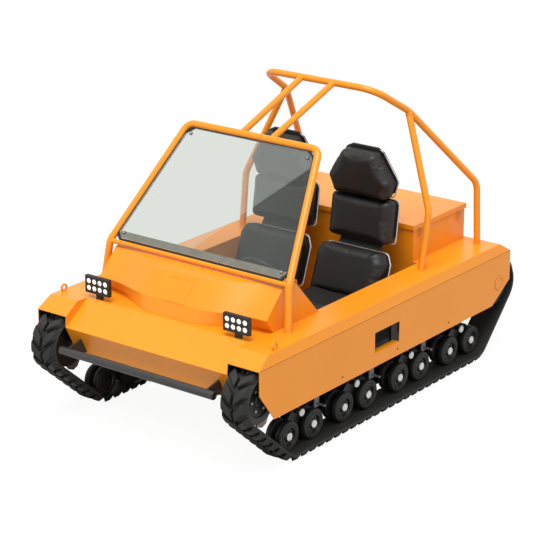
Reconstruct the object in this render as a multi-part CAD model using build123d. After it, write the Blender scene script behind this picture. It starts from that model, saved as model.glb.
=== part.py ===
from build123d import *
from math import acos, atan2, cos, hypot, pi, radians, sin, tan
import os

# A two-seat tracked all-terrain vehicle in millimetres: +X is forward, +Y its left side, +Z up,
# and Z = 0 is the floor that the track lugs stand on.

# Sheet metal hull and side panels
sheet = 4
overall_width = 1600
track_bay = 214
deck_z = 714
fold_z = 650
fold_lean = 14
panel_front_x = 1266
panel_rear_x = -1263
panel_toe_x = 1137
panel_toe_z = 509
panel_heel_x = -1070
panel_heel_z = 463
panel_bottom_z = 338
deck_front_x = 1171
deck_rear_x = -1156
nose_top_x = 1085
nose_tip_x = 1271
nose_tip_z = 585
undercut_x = 1190
undercut_z = 425
floor_front_x = 1040
floor_rear_x = -1060
floor_z = 330
seam_gap = 0.3
overrun = 20

# Openings, holes and the raised ring of a side panel
hatch_rear_x = -52
hatch_front_x = 197
hatch_low_z = 420
hatch_high_z = 545
hatch_corner = 5
hatch_flange = 40
vent_hole = 16
vent_z = 377
vent_xs = [509, -37, -575]
ring_x = -1141
ring_z = 470
ring_outer = 94
ring_inner = 76
ring_proud = 3

# Bonnet, its raised pad, its cheeks and the dash
bonnet_overlap = 14
bonnet_bow_shares = [
    # share of the half width from the middle, share of the bow forward
    (-1, 0), (-0.8, 0.08), (-0.6, 0.45), (-0.4, 0.85), (-0.2, 1),
    (0.2, 1), (0.4, 0.85), (0.6, 0.45), (0.8, 0.08), (1, 0),
]
bonnet_back_x = 700
bonnet_back_z = 958
bonnet_lip_z = 797
bonnet_ridge_z = 945
bonnet_centre_base_x = 1055
bonnet_centre_lip_x = 1030
bonnet_centre_ridge_x = 935
bonnet_edge_base_x = 895
bonnet_edge_lip_x = 952
bonnet_edge_ridge_x = 805
pad_top_width = 206
pad_low_width = 180
pad_height = 3
pad_border = 34
cheek_rear_x = 477
dash_x = 672
dash_low_z = 800

# Windscreen frame, seal and glass
frame_tube = 43
frame_cross_tube = 28
frame_foot_x = 847
frame_foot_inset = 130
frame_low_x = 807
frame_low_half = 646
frame_low_z = 971
frame_top_x = 295
frame_top_half = 469
frame_top_z = 1590
frame_top_bend = 60
frame_low_bend = 90
seal_width = 5
seal_depth = 14
glass_thickness = 6
glass_corner = 38

# Roll cage tubes
cage_tube = 41
roof_x = -330
roof_z = 1793
roof_half = 400
roof_bend = 130
joint_x = -618
joint_half = 451
joint_z = 1618
joint_bend = 260
stay_x = -1070
stay_half = 660
stay_z = 1105
stay_bend = 110
stay_foot_x = -1076
stay_foot_inset = 128
post_knee_x = -510
post_knee_half = 682
post_knee_z = 1065
post_bend = 160
post_foot_x = -455
post_foot_inset = 130
brace_tube = 38
brace_roof_half = 115
brace_foot_half = 107
brace_foot_shift = 25

# Engine box behind the seats, its hinged lid and its latches
box_front_x = -553
box_rear_x = -1115
box_flange = 33
box_z = 940
lid_skin = 3
lid_rim = 26
lid_clear = 5.5
latch_width = 34
latch_height = 56
latch_thickness = 10
latch_inset = 70
hinge_knuckle = 12
hinge_length = 90
hinge_inset = 60
hinge_gap = 0.5
knuckle_share = 1 / 3
engine_length = 430
engine_width = 520
engine_height = 340
engine_x = -830

# Bumper, lamp bars and lifting eyes
bumper_tube = 48
bumper_x = 1344
bumper_z = 479
bumper_end = 55
bracket_inset = 82
bracket_thickness = 12
bracket_height = 90
lamp_width = 178
lamp_height = 102
lamp_depth = 24
lamp_front_x = 1090
lamp_low_z = 748
lamp_y = 502
led_diameter = 32
led_recess = 4
led_pitch = 41
led_columns_count = 4
led_rows_count = 2
lamp_stem_width = 46
lamp_stem_depth = 14
eye_ring = 48
eye_bore = 30
eye_thickness = 9
eye_sink = 4.5
eye_x = 1085
eye_inset = 38

# Seats
seat_y = 292
seat_width = 450
seat_front_x = 190
seat_base_z = 470
cushion_height = 130
cushion_length = 355
pad_thickness = 85
pad_edge = 22
lower_back_x = -249
lower_back_z = 533
lower_lean_degrees = 20
lower_pad_height = 290
lower_pad_width = 480
lower_pad_corner = 62
mid_back_x = -415
mid_back_z = 876
mid_lean_degrees = 8
mid_pad_height = 235
mid_pad_width = 432
mid_pad_corner = 30
head_back_x = -430
head_back_z = 1146
head_lean_degrees = -5.5
head_height = 275
head_low_width = 372
head_wide_width = 450
head_top_width = 228
head_wide_share = 0.34
head_corner = 26
shell_thickness = 14
shell_rim = 6
spine_width = 300
riser_width = 60
riser_spacing = 320

# Steering
wheel_x = 575
wheel_y = 290
wheel_z = 890
wheel_diameter = 300
wheel_rim = 26
rim_edge = 7
wheel_lean_degrees = 35
wheel_hub = 70
wheel_hub_depth = 30
spoke_width = 26
spoke_thickness = 8
spoke_turns_degrees = [0, 120, 240]
column_diameter = 38
column_length = 230

# Tracks: one loop round the idler, the road wheels and the sprocket
track_clear = 11
track_width = 186
belt = 15
lug_height = 27
lug_count = 75
first_lug = 58
lug_foot = 56
lug_top = 46
lug_skew = 50
lug_sink = 5
lug_middle_gap = 20
lug_end_slope = 24
road_wheel = 176
wheel_xs = [899, 670, 376, 139, -185, -411, -725, -963]
idler_x = 1195
idler_z = 455
idler_diameter = 276
sprocket_x = -1205
sprocket_z = 435
sprocket_diameter = 256

# Road wheels, bogies and what carries them
tyre_width = 40
twin_gap = 26
wheel_offset = 33
rim_diameter = 116
rim_depth = 14
hub_diameter = 48
hub_proud = 4
axle = 26
bogie_thickness = 16
bogie_z = 238
bogie_hub = 52
bogie_eye = 60
pivot_pin = 30
pivot_cap = 42
pivot_cap_thickness = 10
hanger_width = 60
hanger_thickness = 10
hanger_top_z = 560
disc_thickness = 22
disc_spacing = 96
disc_web = 180
disc_dish = 6
drive_axle = 44
drive_cap = 60
carrier_thickness = 12

# Rails and struts under the hull, and the tensioner behind each idler
rail_front_x = 800
rail_rear_x = -1060
rail_low_z = 70
strut_xs = [505, -38, -588]
strut_width = 44
strut_thickness = 8
strut_offset = 25
strut_low_z = 150
strut_top_z = 400
strut_foot = 60
strut_pin = 14
strut_pin_z = 172
strut_pin_length = 66
tensioner_x = 1110
tensioner_z = 300
tensioner_boss = 100
tensioner_eye_x = 1185
tensioner_eye_z = 377
tensioner_eye = 76
tensioner_hole = 24
tensioner_thickness = 10
tensioner_bar = 50
tensioner_bar_x = 1025
tensioner_bar_z = 400

# Round pieces are drawn with flat sides, and each bend of a tube in a few straight lengths
small_sides = 8
tube_sides = 10
wheel_sides = 12
drive_sides = 16
rim_sides = 20
bend_steps = 3

half_width = overall_width / 2
hull_half = half_width - track_bay
inner_half = hull_half - sheet
bonnet_half = hull_half + bonnet_overlap
track_y = hull_half + track_clear + track_width / 2
wheel_outer_y = track_y + wheel_offset
wheel_radius = road_wheel / 2
hub_z = wheel_radius + seam_gap + belt + lug_height
frame_radius = frame_tube / 2


def side_solid(points, y_low, y_high):
    """A flat piece whose outline is drawn in X and Z, between two Y planes."""
    wire = Wire.make_polygon([(x, y_low, z) for x, z in points], close=True)
    return extrude(Face(wire), amount=y_high - y_low, dir=(0, 1, 0))


def plate_solid(corners, direction, thickness):
    """A flat piece from corner points in space, given its thickness along a direction."""
    wire = Wire.make_polygon(corners, close=True)
    return extrude(Face(wire), amount=thickness, dir=direction)


def folded_points(points, thickness):
    """The outline of a sheet folded along points, its thickness laid to the right of its path."""
    lines = []
    for a, b in zip(points, points[1:]):
        along = (b[0] - a[0], b[1] - a[1])
        length = hypot(*along)
        side = (along[1] / length * thickness, -along[0] / length * thickness)
        lines.append(((a[0] + side[0], a[1] + side[1]), along))
    inner = [lines[0][0]]
    for (p, d), (q, e) in zip(lines, lines[1:]):
        cross = d[0] * e[1] - d[1] * e[0]
        reach = ((q[0] - p[0]) * e[1] - (q[1] - p[1]) * e[0]) / cross
        inner.append((p[0] + d[0] * reach, p[1] + d[1] * reach))
    last, d = lines[-1]
    inner.append((last[0] + d[0], last[1] + d[1]))
    return points + inner[::-1]


def folded_sheet(points, thickness, y_low, y_high):
    """A sheet of one thickness, bent along the corners of its side view."""
    return side_solid(folded_points(points, thickness), y_low, y_high)


def tube(points, radii, diameter):
    """A bent tube with flat sides: each bend is a few straight lengths with mitred joints."""
    path = FilletPolyline(*points, radius=radii) if radii else Line(*points)
    corners = []
    for edge in path.edges():
        steps = bend_steps if edge.geom_type == GeomType.CIRCLE else 1
        corners += [edge @ (step / steps) for step in range(steps)]
    route = Polyline(*corners, path @ 1)
    section = Plane(origin=route @ 0, z_dir=route % 0) * RegularPolygon(diameter / 2, tube_sides)
    return sweep(section, path=route, transition=Transition.RIGHT)


def y_bar(x, z, diameter, y_low, y_high, sides=small_sides):
    """A many-sided bar along Y."""
    plane = Plane(origin=(x, y_low, z), x_dir=(1, 0, 0), z_dir=(0, 1, 0))
    return extrude(plane * RegularPolygon(diameter / 2, sides), amount=y_high - y_low)


def y_cylinder(x, z, diameter, y_low, y_high):
    """A true round bar along Y, for a bore that something has to fit."""
    plane = Plane(origin=(x, y_low, z), x_dir=(1, 0, 0), z_dir=(0, 1, 0))
    return extrude(plane * Circle(diameter / 2), amount=y_high - y_low)


def x_bar(x_low, x_high, y, z, diameter):
    """A many-sided bar along X."""
    plane = Plane(origin=(x_low, y, z), x_dir=(0, 1, 0), z_dir=(1, 0, 0))
    return extrude(plane * RegularPolygon(diameter / 2, small_sides), amount=x_high - x_low)


def turned(x, z, discs, sides):
    """A turned piece along Y as a stack of discs: the table lists diameter, low Y and high Y."""
    stack = [y_bar(x, z, diameter, low, high, sides) for diameter, low, high in discs]
    return stack[0].fuse(*stack[1:])


def wrapped_plate(bosses, y_low, thickness):
    """A flat plate whose outline wraps round its bosses: the table lists x, z and diameter."""
    rounds = [Pos(x, z) * RegularPolygon(size / 2, small_sides) for x, z, size in bosses]
    outline = make_hull(Sketch(children=rounds).edges())
    plane = Plane(origin=(0, y_low + thickness, 0), x_dir=(1, 0, 0), z_dir=(0, -1, 0))
    return extrude(plane * outline, amount=thickness)


def block(x_low, x_high, y_low, y_high, z_low, z_high):
    """A rectangular block between three pairs of planes."""
    box = Box(x_high - x_low, y_high - y_low, z_high - z_low, align=(Align.MIN, Align.MIN, Align.MIN))
    return Pos(x_low, y_low, z_low) * box


def mirrored(shape):
    """The same piece on the right side of the car."""
    return mirror(shape, about=Plane.XZ)


def on_deck(shape):
    """A tube whose foot is cut flat where it stands on the deck."""
    return shape.split(Plane.XY.offset(deck_z), keep=Keep.TOP)


def largest(shape):
    """The main solid of a cut, without its offcuts."""
    return max(shape.solids(), key=lambda solid: solid.volume)


# Hull: two inner walls joined by a nose, a floor and a rear panel

under_nose = [(nose_tip_x, nose_tip_z), (undercut_x, undercut_z), (floor_front_x, floor_z)]
under_tail = [(floor_rear_x, floor_z), (panel_rear_x, panel_heel_z), (panel_rear_x, fold_z),
              (deck_rear_x, deck_z)]


def inner_wall():
    """A plate inside each track, as high at the front as the deck and its sloping end."""
    outline = [(deck_front_x, deck_z), (panel_front_x, fold_z)] + under_nose + under_tail
    return side_solid(outline, inner_half, hull_half)


def nose_panel():
    path = [(bonnet_edge_base_x, deck_z), (nose_top_x, deck_z)] + under_nose
    return folded_sheet(path, sheet, -inner_half, inner_half)


def floor_pan(nose, rear):
    pan = block(floor_rear_x, floor_front_x, -inner_half, inner_half, floor_z, floor_z + sheet)
    return pan - nose - rear


def rear_panel():
    path = under_tail + [(box_rear_x, deck_z)]
    return folded_sheet(path, sheet, -inner_half, inner_half)


def fender():
    """The flat deck over a track, with its sloping ends."""
    top_edge = half_width - fold_lean - sheet
    fold_edge = half_width - sheet
    deck = block(deck_rear_x, deck_front_x, hull_half, top_edge, deck_z - sheet, deck_z)
    for deck_end, fold_end in [(deck_front_x, panel_front_x), (deck_rear_x, panel_rear_x)]:
        corners = [(deck_end, hull_half, deck_z), (deck_end, top_edge, deck_z),
                   (fold_end, fold_edge, fold_z), (fold_end, hull_half, fold_z)]
        deck += plate_solid(corners, (0, 0, -1), sheet)
    return deck


def side_panel():
    """The outer plate of one side with its hatch, holes and ring, the strip over it and the flange."""
    outer = half_width
    outline = [(panel_front_x, fold_z), (panel_front_x, panel_toe_z), (panel_toe_x, panel_bottom_z),
               (panel_heel_x, panel_bottom_z), (panel_rear_x, panel_heel_z), (panel_rear_x, fold_z)]
    plate = side_solid(outline, outer - sheet, outer)
    strip_z = fold_z + seam_gap
    strip = [(panel_front_x, outer, strip_z), (deck_front_x, outer - fold_lean, deck_z),
             (deck_rear_x, outer - fold_lean, deck_z), (panel_rear_x, outer, strip_z)]
    hatch = block(hatch_rear_x, hatch_front_x, outer - overrun, outer + overrun, hatch_low_z, hatch_high_z)
    plate -= chamfer(hatch.edges().filter_by(Axis.Y), hatch_corner)
    for x in vent_xs:
        plate -= y_bar(x, vent_z, vent_hole, outer - overrun, outer + overrun)
    ring = y_bar(ring_x, ring_z, ring_outer, outer - sheet, outer + ring_proud, drive_sides)
    plate = plate + ring - y_bar(ring_x, ring_z, ring_inner, outer, outer + ring_proud, drive_sides)
    flange_y = outer - sheet - seam_gap
    flange = block(hatch_rear_x + hatch_corner, hatch_front_x - hatch_corner,
                   flange_y - hatch_flange, flange_y, hatch_low_z - sheet, hatch_low_z)
    return [plate, plate_solid(strip, (0, -1, 0), sheet), flange]


# Bonnet: a folded sheet bowed forward in the middle, its cheeks and the dash behind it

bonnet_rows = [
    # centre x, edge x, z
    (bonnet_centre_base_x, bonnet_edge_base_x, deck_z),
    (bonnet_centre_lip_x, bonnet_edge_lip_x, bonnet_lip_z),
    (bonnet_centre_ridge_x, bonnet_edge_ridge_x, bonnet_ridge_z),
    (bonnet_back_x, bonnet_back_x, bonnet_back_z),
]


def bonnet():
    """The folded sheet, bowed forward in the middle and laid out in flat triangles."""
    rows = []
    for centre_x, edge_x, z in bonnet_rows:
        rows.append([Vector(edge_x + (centre_x - edge_x) * bow, bonnet_half * across, z)
                     for across, bow in bonnet_bow_shares])
    facets = []
    for low, high in zip(rows, rows[1:]):
        for a, b, c, d in zip(low, low[1:], high[1:], high):
            facets += [plate_solid(corners, (-1, 0, -1), sheet) for corners in [(a, b, c), (a, c, d)]]
    return on_deck(facets[0].fuse(*facets[1:]))


def bonnet_pad():
    """The raised frame on the bonnet's centre facet, with its bare recessed panel."""
    low = Vector(bonnet_centre_lip_x, 0, bonnet_lip_z)
    rise = Vector(bonnet_centre_ridge_x, 0, bonnet_ridge_z) - low
    facet = Plane(origin=low, x_dir=(0, 1, 0), z_dir=(rise.Z, 0, -rise.X))
    low_half, top_half = pad_low_width / 2, pad_top_width / 2
    outline = [(-low_half, 0), (low_half, 0), (top_half, rise.length), (-top_half, rise.length)]
    inner = [(pad_border - low_half, 0), (low_half - pad_border, 0),
             (top_half - pad_border, rise.length - pad_border),
             (pad_border - top_half, rise.length - pad_border)]
    frame = Polygon(*outline, align=None) - Polygon(*inner, align=None)
    return extrude(facet * frame, amount=pad_height)


def cheek():
    """The flat plate that closes the end of the bonnet and stiffens the dash."""
    outline = [(edge_x, z) for centre_x, edge_x, z in bonnet_rows] + [(cheek_rear_x, deck_z)]
    return side_solid(outline, bonnet_half, bonnet_half + sheet)


wheel_normal = Vector(-cos(radians(wheel_lean_degrees)), 0, sin(radians(wheel_lean_degrees)))
wheel_centre = Vector(wheel_x, wheel_y, wheel_z)
wheel_plane = Plane(origin=wheel_centre, x_dir=(0, 1, 0), z_dir=wheel_normal)


def column(diameter):
    """The steering column, from just under the wheel's hub down into the bonnet."""
    top = wheel_centre - wheel_normal * (wheel_hub_depth / 2 + seam_gap)
    plane = Plane(origin=top, x_dir=(0, 1, 0), z_dir=-wheel_normal)
    return extrude(plane * RegularPolygon(diameter / 2, small_sides), amount=column_length)


def dash(cover):
    path = [(bonnet_back_x, bonnet_back_z), (dash_x, bonnet_back_z), (dash_x, dash_low_z)]
    panel = folded_sheet(path[::-1], sheet, -bonnet_half, bonnet_half)
    return panel - cover - column(column_diameter + 2 * seam_gap)


def steering_wheel():
    """A many-sided rim with broken edges, a hub and its spokes."""
    reach = wheel_diameter / 2
    outline = RegularPolygon(reach, rim_sides) - RegularPolygon(reach - wheel_rim, rim_sides)
    wheel = chamfer(extrude(outline, amount=wheel_rim / 2, both=True).faces().filter_by(Axis.Z).edges(),
                    rim_edge)
    hub = extrude(RegularPolygon(wheel_hub / 2, wheel_sides), amount=wheel_hub_depth / 2, both=True)
    spokes = []
    for turn in spoke_turns_degrees:
        spoke = Box(reach - wheel_rim / 2, spoke_width, spoke_thickness,
                    align=(Align.MIN, Align.CENTER, Align.CENTER))
        spokes.append(Rot(0, 0, turn) * spoke)
    return wheel_plane * wheel.fuse(hub, *spokes)


# Windscreen: a bent tube frame with a lower cross tube, a rubber seal and one flat pane

frame_slope = Vector(frame_top_x - frame_low_x, 0, frame_top_z - frame_low_z)
frame_plane = Plane(
    origin=(frame_low_x, 0, frame_low_z), x_dir=(0, 1, 0), z_dir=(frame_slope.Z, 0, -frame_slope.X))


def windshield_frame():
    right = [(frame_foot_x, frame_foot_inset - half_width, deck_z - overrun),
             (frame_low_x, -frame_low_half, frame_low_z), (frame_top_x, -frame_top_half, frame_top_z)]
    points = right + [(x, -y, z) for x, y, z in right[::-1]]
    radii = [frame_low_bend, frame_top_bend, frame_top_bend, frame_low_bend]
    frame = on_deck(tube(points, radii, frame_tube))
    return frame + tube([points[1], points[4]], [], frame_cross_tube)


def pane(inset, thickness):
    """A plate in the frame's plane, its edge moved in from the centre lines of the tubes."""
    rise = frame_slope.length
    corners = [(-frame_low_half, 0), (frame_low_half, 0), (frame_top_half, rise), (-frame_top_half, rise)]
    opening = offset(Polygon(*corners, align=None), amount=-inset, kind=Kind.INTERSECTION)
    opening = chamfer(opening.vertices(), glass_corner)
    return extrude(frame_plane * opening, amount=thickness / 2, both=True)


def windshield_glass():
    return pane(frame_radius + seal_width, glass_thickness)


def windshield_seal(frame):
    ring = pane(frame_radius - seal_width, seal_depth) - pane(frame_radius + seal_width, seal_depth)
    return largest(ring - frame)


# Roll cage: one long hoop from deck to deck, two posts and two braces

def roof_hoop():
    right = [(stay_foot_x, stay_foot_inset - half_width, deck_z - overrun), (stay_x, -stay_half, stay_z),
             (joint_x, -joint_half, joint_z), (roof_x, -roof_half, roof_z)]
    points = right + [(x, -y, z) for x, y, z in right[::-1]]
    radii = [stay_bend, joint_bend, roof_bend, roof_bend, joint_bend, stay_bend]
    return on_deck(tube(points, radii, cage_tube))


def cage_posts(hoop):
    points = [(post_foot_x, half_width - post_foot_inset, deck_z - overrun),
              (post_knee_x, post_knee_half, post_knee_z), (joint_x, joint_half, joint_z)]
    post = largest(on_deck(tube(points, [post_bend], cage_tube)) - hoop)
    return [post, mirrored(post)]


def cage_braces(hoop, frame):
    braces = []
    for side in (-1, 1):
        foot = (frame_top_x, side * brace_foot_half + brace_foot_shift, frame_top_z)
        top = (roof_x, side * brace_roof_half, roof_z)
        braces.append(largest(tube([foot, top], [], brace_tube) - hoop - frame))
    return braces


# Engine box, its lid with hinges and latches, and the engine under it

box_half = inner_half - box_flange
rim_inner = box_half + lid_clear
rim_outer = rim_inner + lid_skin
hinge_y = -rim_outer - hinge_gap - hinge_knuckle / 2
hinge_z = box_z - lid_rim + hinge_knuckle / 2
hinge_xs = [box_front_x - hinge_inset - hinge_length, box_rear_x + hinge_inset]


def engine_box():
    """A sheet metal box open below, with side flanges on the deck, a bulkhead and hinge brackets."""
    shell = block(box_rear_x, box_front_x, -box_half, box_half, deck_z - sheet, box_z)
    shell -= block(box_rear_x + sheet, box_front_x - sheet, sheet - box_half, box_half - sheet,
                   deck_z - sheet, box_z)
    shell += block(box_front_x - sheet, box_front_x, -inner_half, inner_half, floor_z + sheet, deck_z)
    for low, high in [(box_half, inner_half), (-inner_half, -box_half)]:
        shell += block(box_rear_x, box_front_x, low, high, deck_z - sheet, deck_z)
    low_z = box_z - lid_rim - hinge_knuckle
    knuckle = hinge_length * knuckle_share
    for x in hinge_xs:
        knuckle_x = x + knuckle + hinge_gap
        knuckle_end = x + 2 * knuckle - hinge_gap
        arm = block(knuckle_x, knuckle_end, hinge_y - hinge_knuckle / 2, -box_half,
                    low_z, low_z + hinge_knuckle / 2)
        arm += block(knuckle_x, knuckle_end, hinge_y - hinge_knuckle / 2, hinge_y + hinge_knuckle / 2,
                     low_z, hinge_z)
        shell += arm + x_bar(knuckle_x, knuckle_end, hinge_y, hinge_z, hinge_knuckle)
    return shell


def box_lid():
    """A shallow tray lid that overlaps the box, with two knuckles of each hinge on its right rim."""
    reach = lid_clear + lid_skin
    low_z = box_z - lid_rim
    top_z = box_z + seam_gap
    lid = block(box_rear_x - reach, box_front_x + reach, -rim_outer, rim_outer, low_z, top_z + lid_skin)
    lid -= block(box_rear_x - lid_clear, box_front_x + lid_clear, -rim_inner, rim_inner, low_z, top_z)
    length = hinge_length * knuckle_share
    for x in hinge_xs:
        for start in (x, x + 2 * length):
            knuckle = x_bar(start, start + length, hinge_y, hinge_z, hinge_knuckle)
            leaf = block(start, start + length, hinge_y, -rim_outer, hinge_z, hinge_z + hinge_knuckle / 2)
            lid += knuckle + leaf
    return lid


def box_latches():
    high_z = box_z - lid_rim - lid_clear
    latches = []
    for x in (box_front_x - latch_inset, box_rear_x + latch_inset):
        latches.append(block(x - latch_width / 2, x + latch_width / 2, box_half,
                             box_half + latch_thickness, high_z - latch_height, high_z))
    return latches


def engine_block():
    low_z = floor_z + sheet
    return block(engine_x - engine_length / 2, engine_x + engine_length / 2,
                 -engine_width / 2, engine_width / 2, low_z, low_z + engine_height)


# Bumper, lamps and lifting eyes

bracket_y = inner_half - bracket_inset


def bumper():
    reach = bracket_y + bumper_end
    return y_bar(bumper_x, bumper_z, bumper_tube, -reach, reach, tube_sides)


def bumper_brackets(tube_solid):
    """A plate each side, from the undercut of the nose to the bumper tube."""
    slope_x = (nose_tip_x - undercut_x) / (nose_tip_z - undercut_z)
    low_z, high_z = bumper_z - bracket_height / 2, bumper_z + bracket_height / 2
    root = [(undercut_x + (z - undercut_z) * slope_x, z) for z in (low_z, high_z)]
    outline = root + [(bumper_x, bumper_z + bumper_tube / 2), (bumper_x, bumper_z - bumper_tube / 2)]
    half = bracket_thickness / 2
    plate = largest(side_solid(outline, bracket_y - half, bracket_y + half) - tube_solid)
    return [plate, mirrored(plate)]


def light_bar():
    """A lamp body with recessed round lenses, on a stem that stands on the deck."""
    back_x = lamp_front_x - lamp_depth
    lamp = block(back_x, lamp_front_x, lamp_y - lamp_width / 2, lamp_y + lamp_width / 2,
                 lamp_low_z, lamp_low_z + lamp_height)
    stem_x = back_x - lamp_stem_depth / 2
    lamp += block(stem_x, stem_x + lamp_stem_depth, lamp_y - lamp_stem_width / 2,
                  lamp_y + lamp_stem_width / 2, deck_z, lamp_low_z)
    middle = Plane(origin=(lamp_front_x, lamp_y, lamp_low_z + lamp_height / 2), x_dir=(0, 1, 0),
                   z_dir=(1, 0, 0))
    places = GridLocations(led_pitch, led_pitch, led_columns_count, led_rows_count)
    lenses = places * RegularPolygon(led_diameter / 2, small_sides)
    return lamp - extrude(middle * Sketch(children=list(lenses)), amount=-led_recess)


def lifting_eyes():
    """A flat ring each side, cut level where it is welded on the deck."""
    z = deck_z + eye_ring / 2 - eye_sink
    middle = half_width - eye_inset
    y_low, y_high = middle - eye_thickness / 2, middle + eye_thickness / 2
    ring = y_cylinder(eye_x, z, eye_ring, y_low, y_high)
    eye = on_deck(ring - y_cylinder(eye_x, z, eye_bore, y_low, y_high))
    return [eye, mirrored(eye)]


# Seats: a folded shell with three back pads, each in its own leaning plane, and a cushion

def back_plane(x, z, lean_degrees):
    """A plane at the seat's middle that leans back: its X runs across, its Y up the seat."""
    lean = radians(lean_degrees)
    return Plane(origin=(x, seat_y, z), x_dir=(0, 1, 0), z_dir=(cos(lean), 0, sin(lean)))


lower_plane = back_plane(lower_back_x, lower_back_z, lower_lean_degrees)
mid_plane = back_plane(mid_back_x, mid_back_z, mid_lean_degrees)
head_plane = back_plane(head_back_x, head_back_z, head_lean_degrees)
lower_pad_outline = [(lower_pad_width / 2, 0), (lower_pad_width / 2, lower_pad_height - lower_pad_corner),
                     (lower_pad_width / 2 - lower_pad_corner / 2, lower_pad_height)]
mid_pad_outline = [(mid_pad_width / 2, 0), (mid_pad_width / 2, mid_pad_height)]
head_pad_outline = [(head_low_width / 2, 0), (head_wide_width / 2, head_height * head_wide_share),
                    (head_top_width / 2, head_height)]


def back_outline(halves, grow, corner):
    """A shape symmetric about the seat's middle, from its left half."""
    points = halves + [(-y, z) for y, z in halves[::-1]]
    shape = Polygon(*points, align=None)
    if grow:
        shape = offset(shape, amount=grow, kind=Kind.INTERSECTION)
    return chamfer(shape.vertices(), corner)


def back_pad(plane, halves, corner):
    pad = extrude(plane * back_outline(halves, 0, corner), amount=pad_thickness)
    front = pad.faces().sort_by(Axis(plane.origin, plane.z_dir))[-1]
    return chamfer(front.edges(), pad_edge)


def seat_cushion():
    y_low, y_high = seat_y - seat_width / 2, seat_y + seat_width / 2
    pad = block(seat_front_x - cushion_length, seat_front_x, y_low, y_high,
                seat_base_z, seat_base_z + cushion_height)
    return chamfer(pad.faces().sort_by(Axis.Z)[-1].edges(), pad_edge)


def seat_shell():
    """The folded spine behind the pads with a plate for each, the pan and its two risers."""
    low_z = seat_base_z - shell_thickness
    foot = lower_back_x + (lower_back_z - low_z) * tan(radians(lower_lean_degrees))
    tops = [plane.origin + plane.y_dir * height for plane, height in
            [(lower_plane, lower_pad_height), (mid_plane, mid_pad_height), (head_plane, head_height / 2)]]
    path = [(foot, low_z), (tops[0].X, tops[0].Z), (mid_back_x, mid_back_z), (tops[1].X, tops[1].Z),
            (head_back_x, head_back_z), (tops[2].X, tops[2].Z)]
    shell = folded_sheet(path[::-1], shell_thickness, seat_y - spine_width / 2, seat_y + spine_width / 2)
    for plane, halves, corner in [(lower_plane, lower_pad_outline, pad_edge),
                                  (mid_plane, mid_pad_outline, mid_pad_corner),
                                  (head_plane, head_pad_outline, head_corner)]:
        shell += extrude(plane * back_outline(halves, shell_rim, corner), amount=-shell_thickness)
    y_low, y_high = seat_y - seat_width / 2, seat_y + seat_width / 2
    shell += block(foot - shell_thickness, seat_front_x, y_low, y_high, low_z, seat_base_z)
    for side in (-1, 1):
        y = seat_y + side * riser_spacing / 2
        shell += block(seat_front_x - cushion_length, seat_front_x - riser_width, y - riser_width / 2,
                       y + riser_width / 2, floor_z + sheet, low_z)
    return shell


# Track loop: straight runs between the four guide circles and arcs round them

guides = [
    # x, z, radius of the belt's inner face
    (idler_x, idler_z, idler_diameter / 2 + seam_gap),
    (wheel_xs[0], hub_z, wheel_radius + seam_gap),
    (wheel_xs[-1], hub_z, wheel_radius + seam_gap),
    (sprocket_x, sprocket_z, sprocket_diameter / 2 + seam_gap),
]


def loop_runs():
    """The straight runs, each from one circle's tangent point to the next, going round clockwise."""
    runs = []
    for (x1, z1, r1), (x2, z2, r2) in zip(guides, guides[1:] + guides[:1]):
        heading = atan2(z2 - z1, x2 - x1)
        out = heading + acos((r1 - r2) / hypot(x2 - x1, z2 - z1))
        start = (x1 + r1 * cos(out), z1 + r1 * sin(out))
        end = (x2 + r2 * cos(out), z2 + r2 * sin(out))
        runs.append((start, end, out))
    return runs


def loop_pieces():
    """The loop as a list of runs and arcs, each with its length along the belt's inner face."""
    pieces = []
    runs = loop_runs()
    for i, (start, end, out) in enumerate(runs):
        pieces.append((hypot(end[0] - start[0], end[1] - start[1]), start, end, None, out))
        x, z, r = guides[(i + 1) % len(guides)]
        turn = (out - runs[(i + 1) % len(runs)][2]) % (2 * pi)
        pieces.append((turn * r, (x, z), None, r, out))
    return pieces


def loop_point(distance, height, y):
    """A point at a distance along the loop, at a height over the belt's inner face."""
    pieces = loop_pieces()
    distance %= sum(piece[0] for piece in pieces)
    for length, first, last, r, out in pieces:
        if distance <= length:
            break
        distance -= length
    if r is None:
        share = distance / length
        x = first[0] + (last[0] - first[0]) * share
        z = first[1] + (last[1] - first[1]) * share
        return Vector(x + height * cos(out), y, z + height * sin(out))
    angle = out - distance / r
    return Vector(first[0] + (r + height) * cos(angle), y, first[1] + (r + height) * sin(angle))


def loop_face(grow):
    """The area inside the loop, its edge moved out by grow."""
    edges = []
    runs = loop_runs()
    for i, (start, end, out) in enumerate(runs):
        x, z, r = guides[(i + 1) % len(guides)]
        next_out = runs[(i + 1) % len(runs)][2]
        shift = Vector(cos(out), 0, sin(out)) * grow
        a = Vector(start[0], 0, start[1]) + shift
        b = Vector(end[0], 0, end[1]) + shift
        middle = out - ((out - next_out) % (2 * pi)) / 2
        centre = Vector(x, 0, z)
        c = centre + Vector(cos(middle), 0, sin(middle)) * (r + grow)
        d = centre + Vector(cos(next_out), 0, sin(next_out)) * (r + grow)
        edges += [Edge.make_line(a, b), Edge.make_three_point_arc(b, c, d)]
    return Face(Wire(edges))


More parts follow.
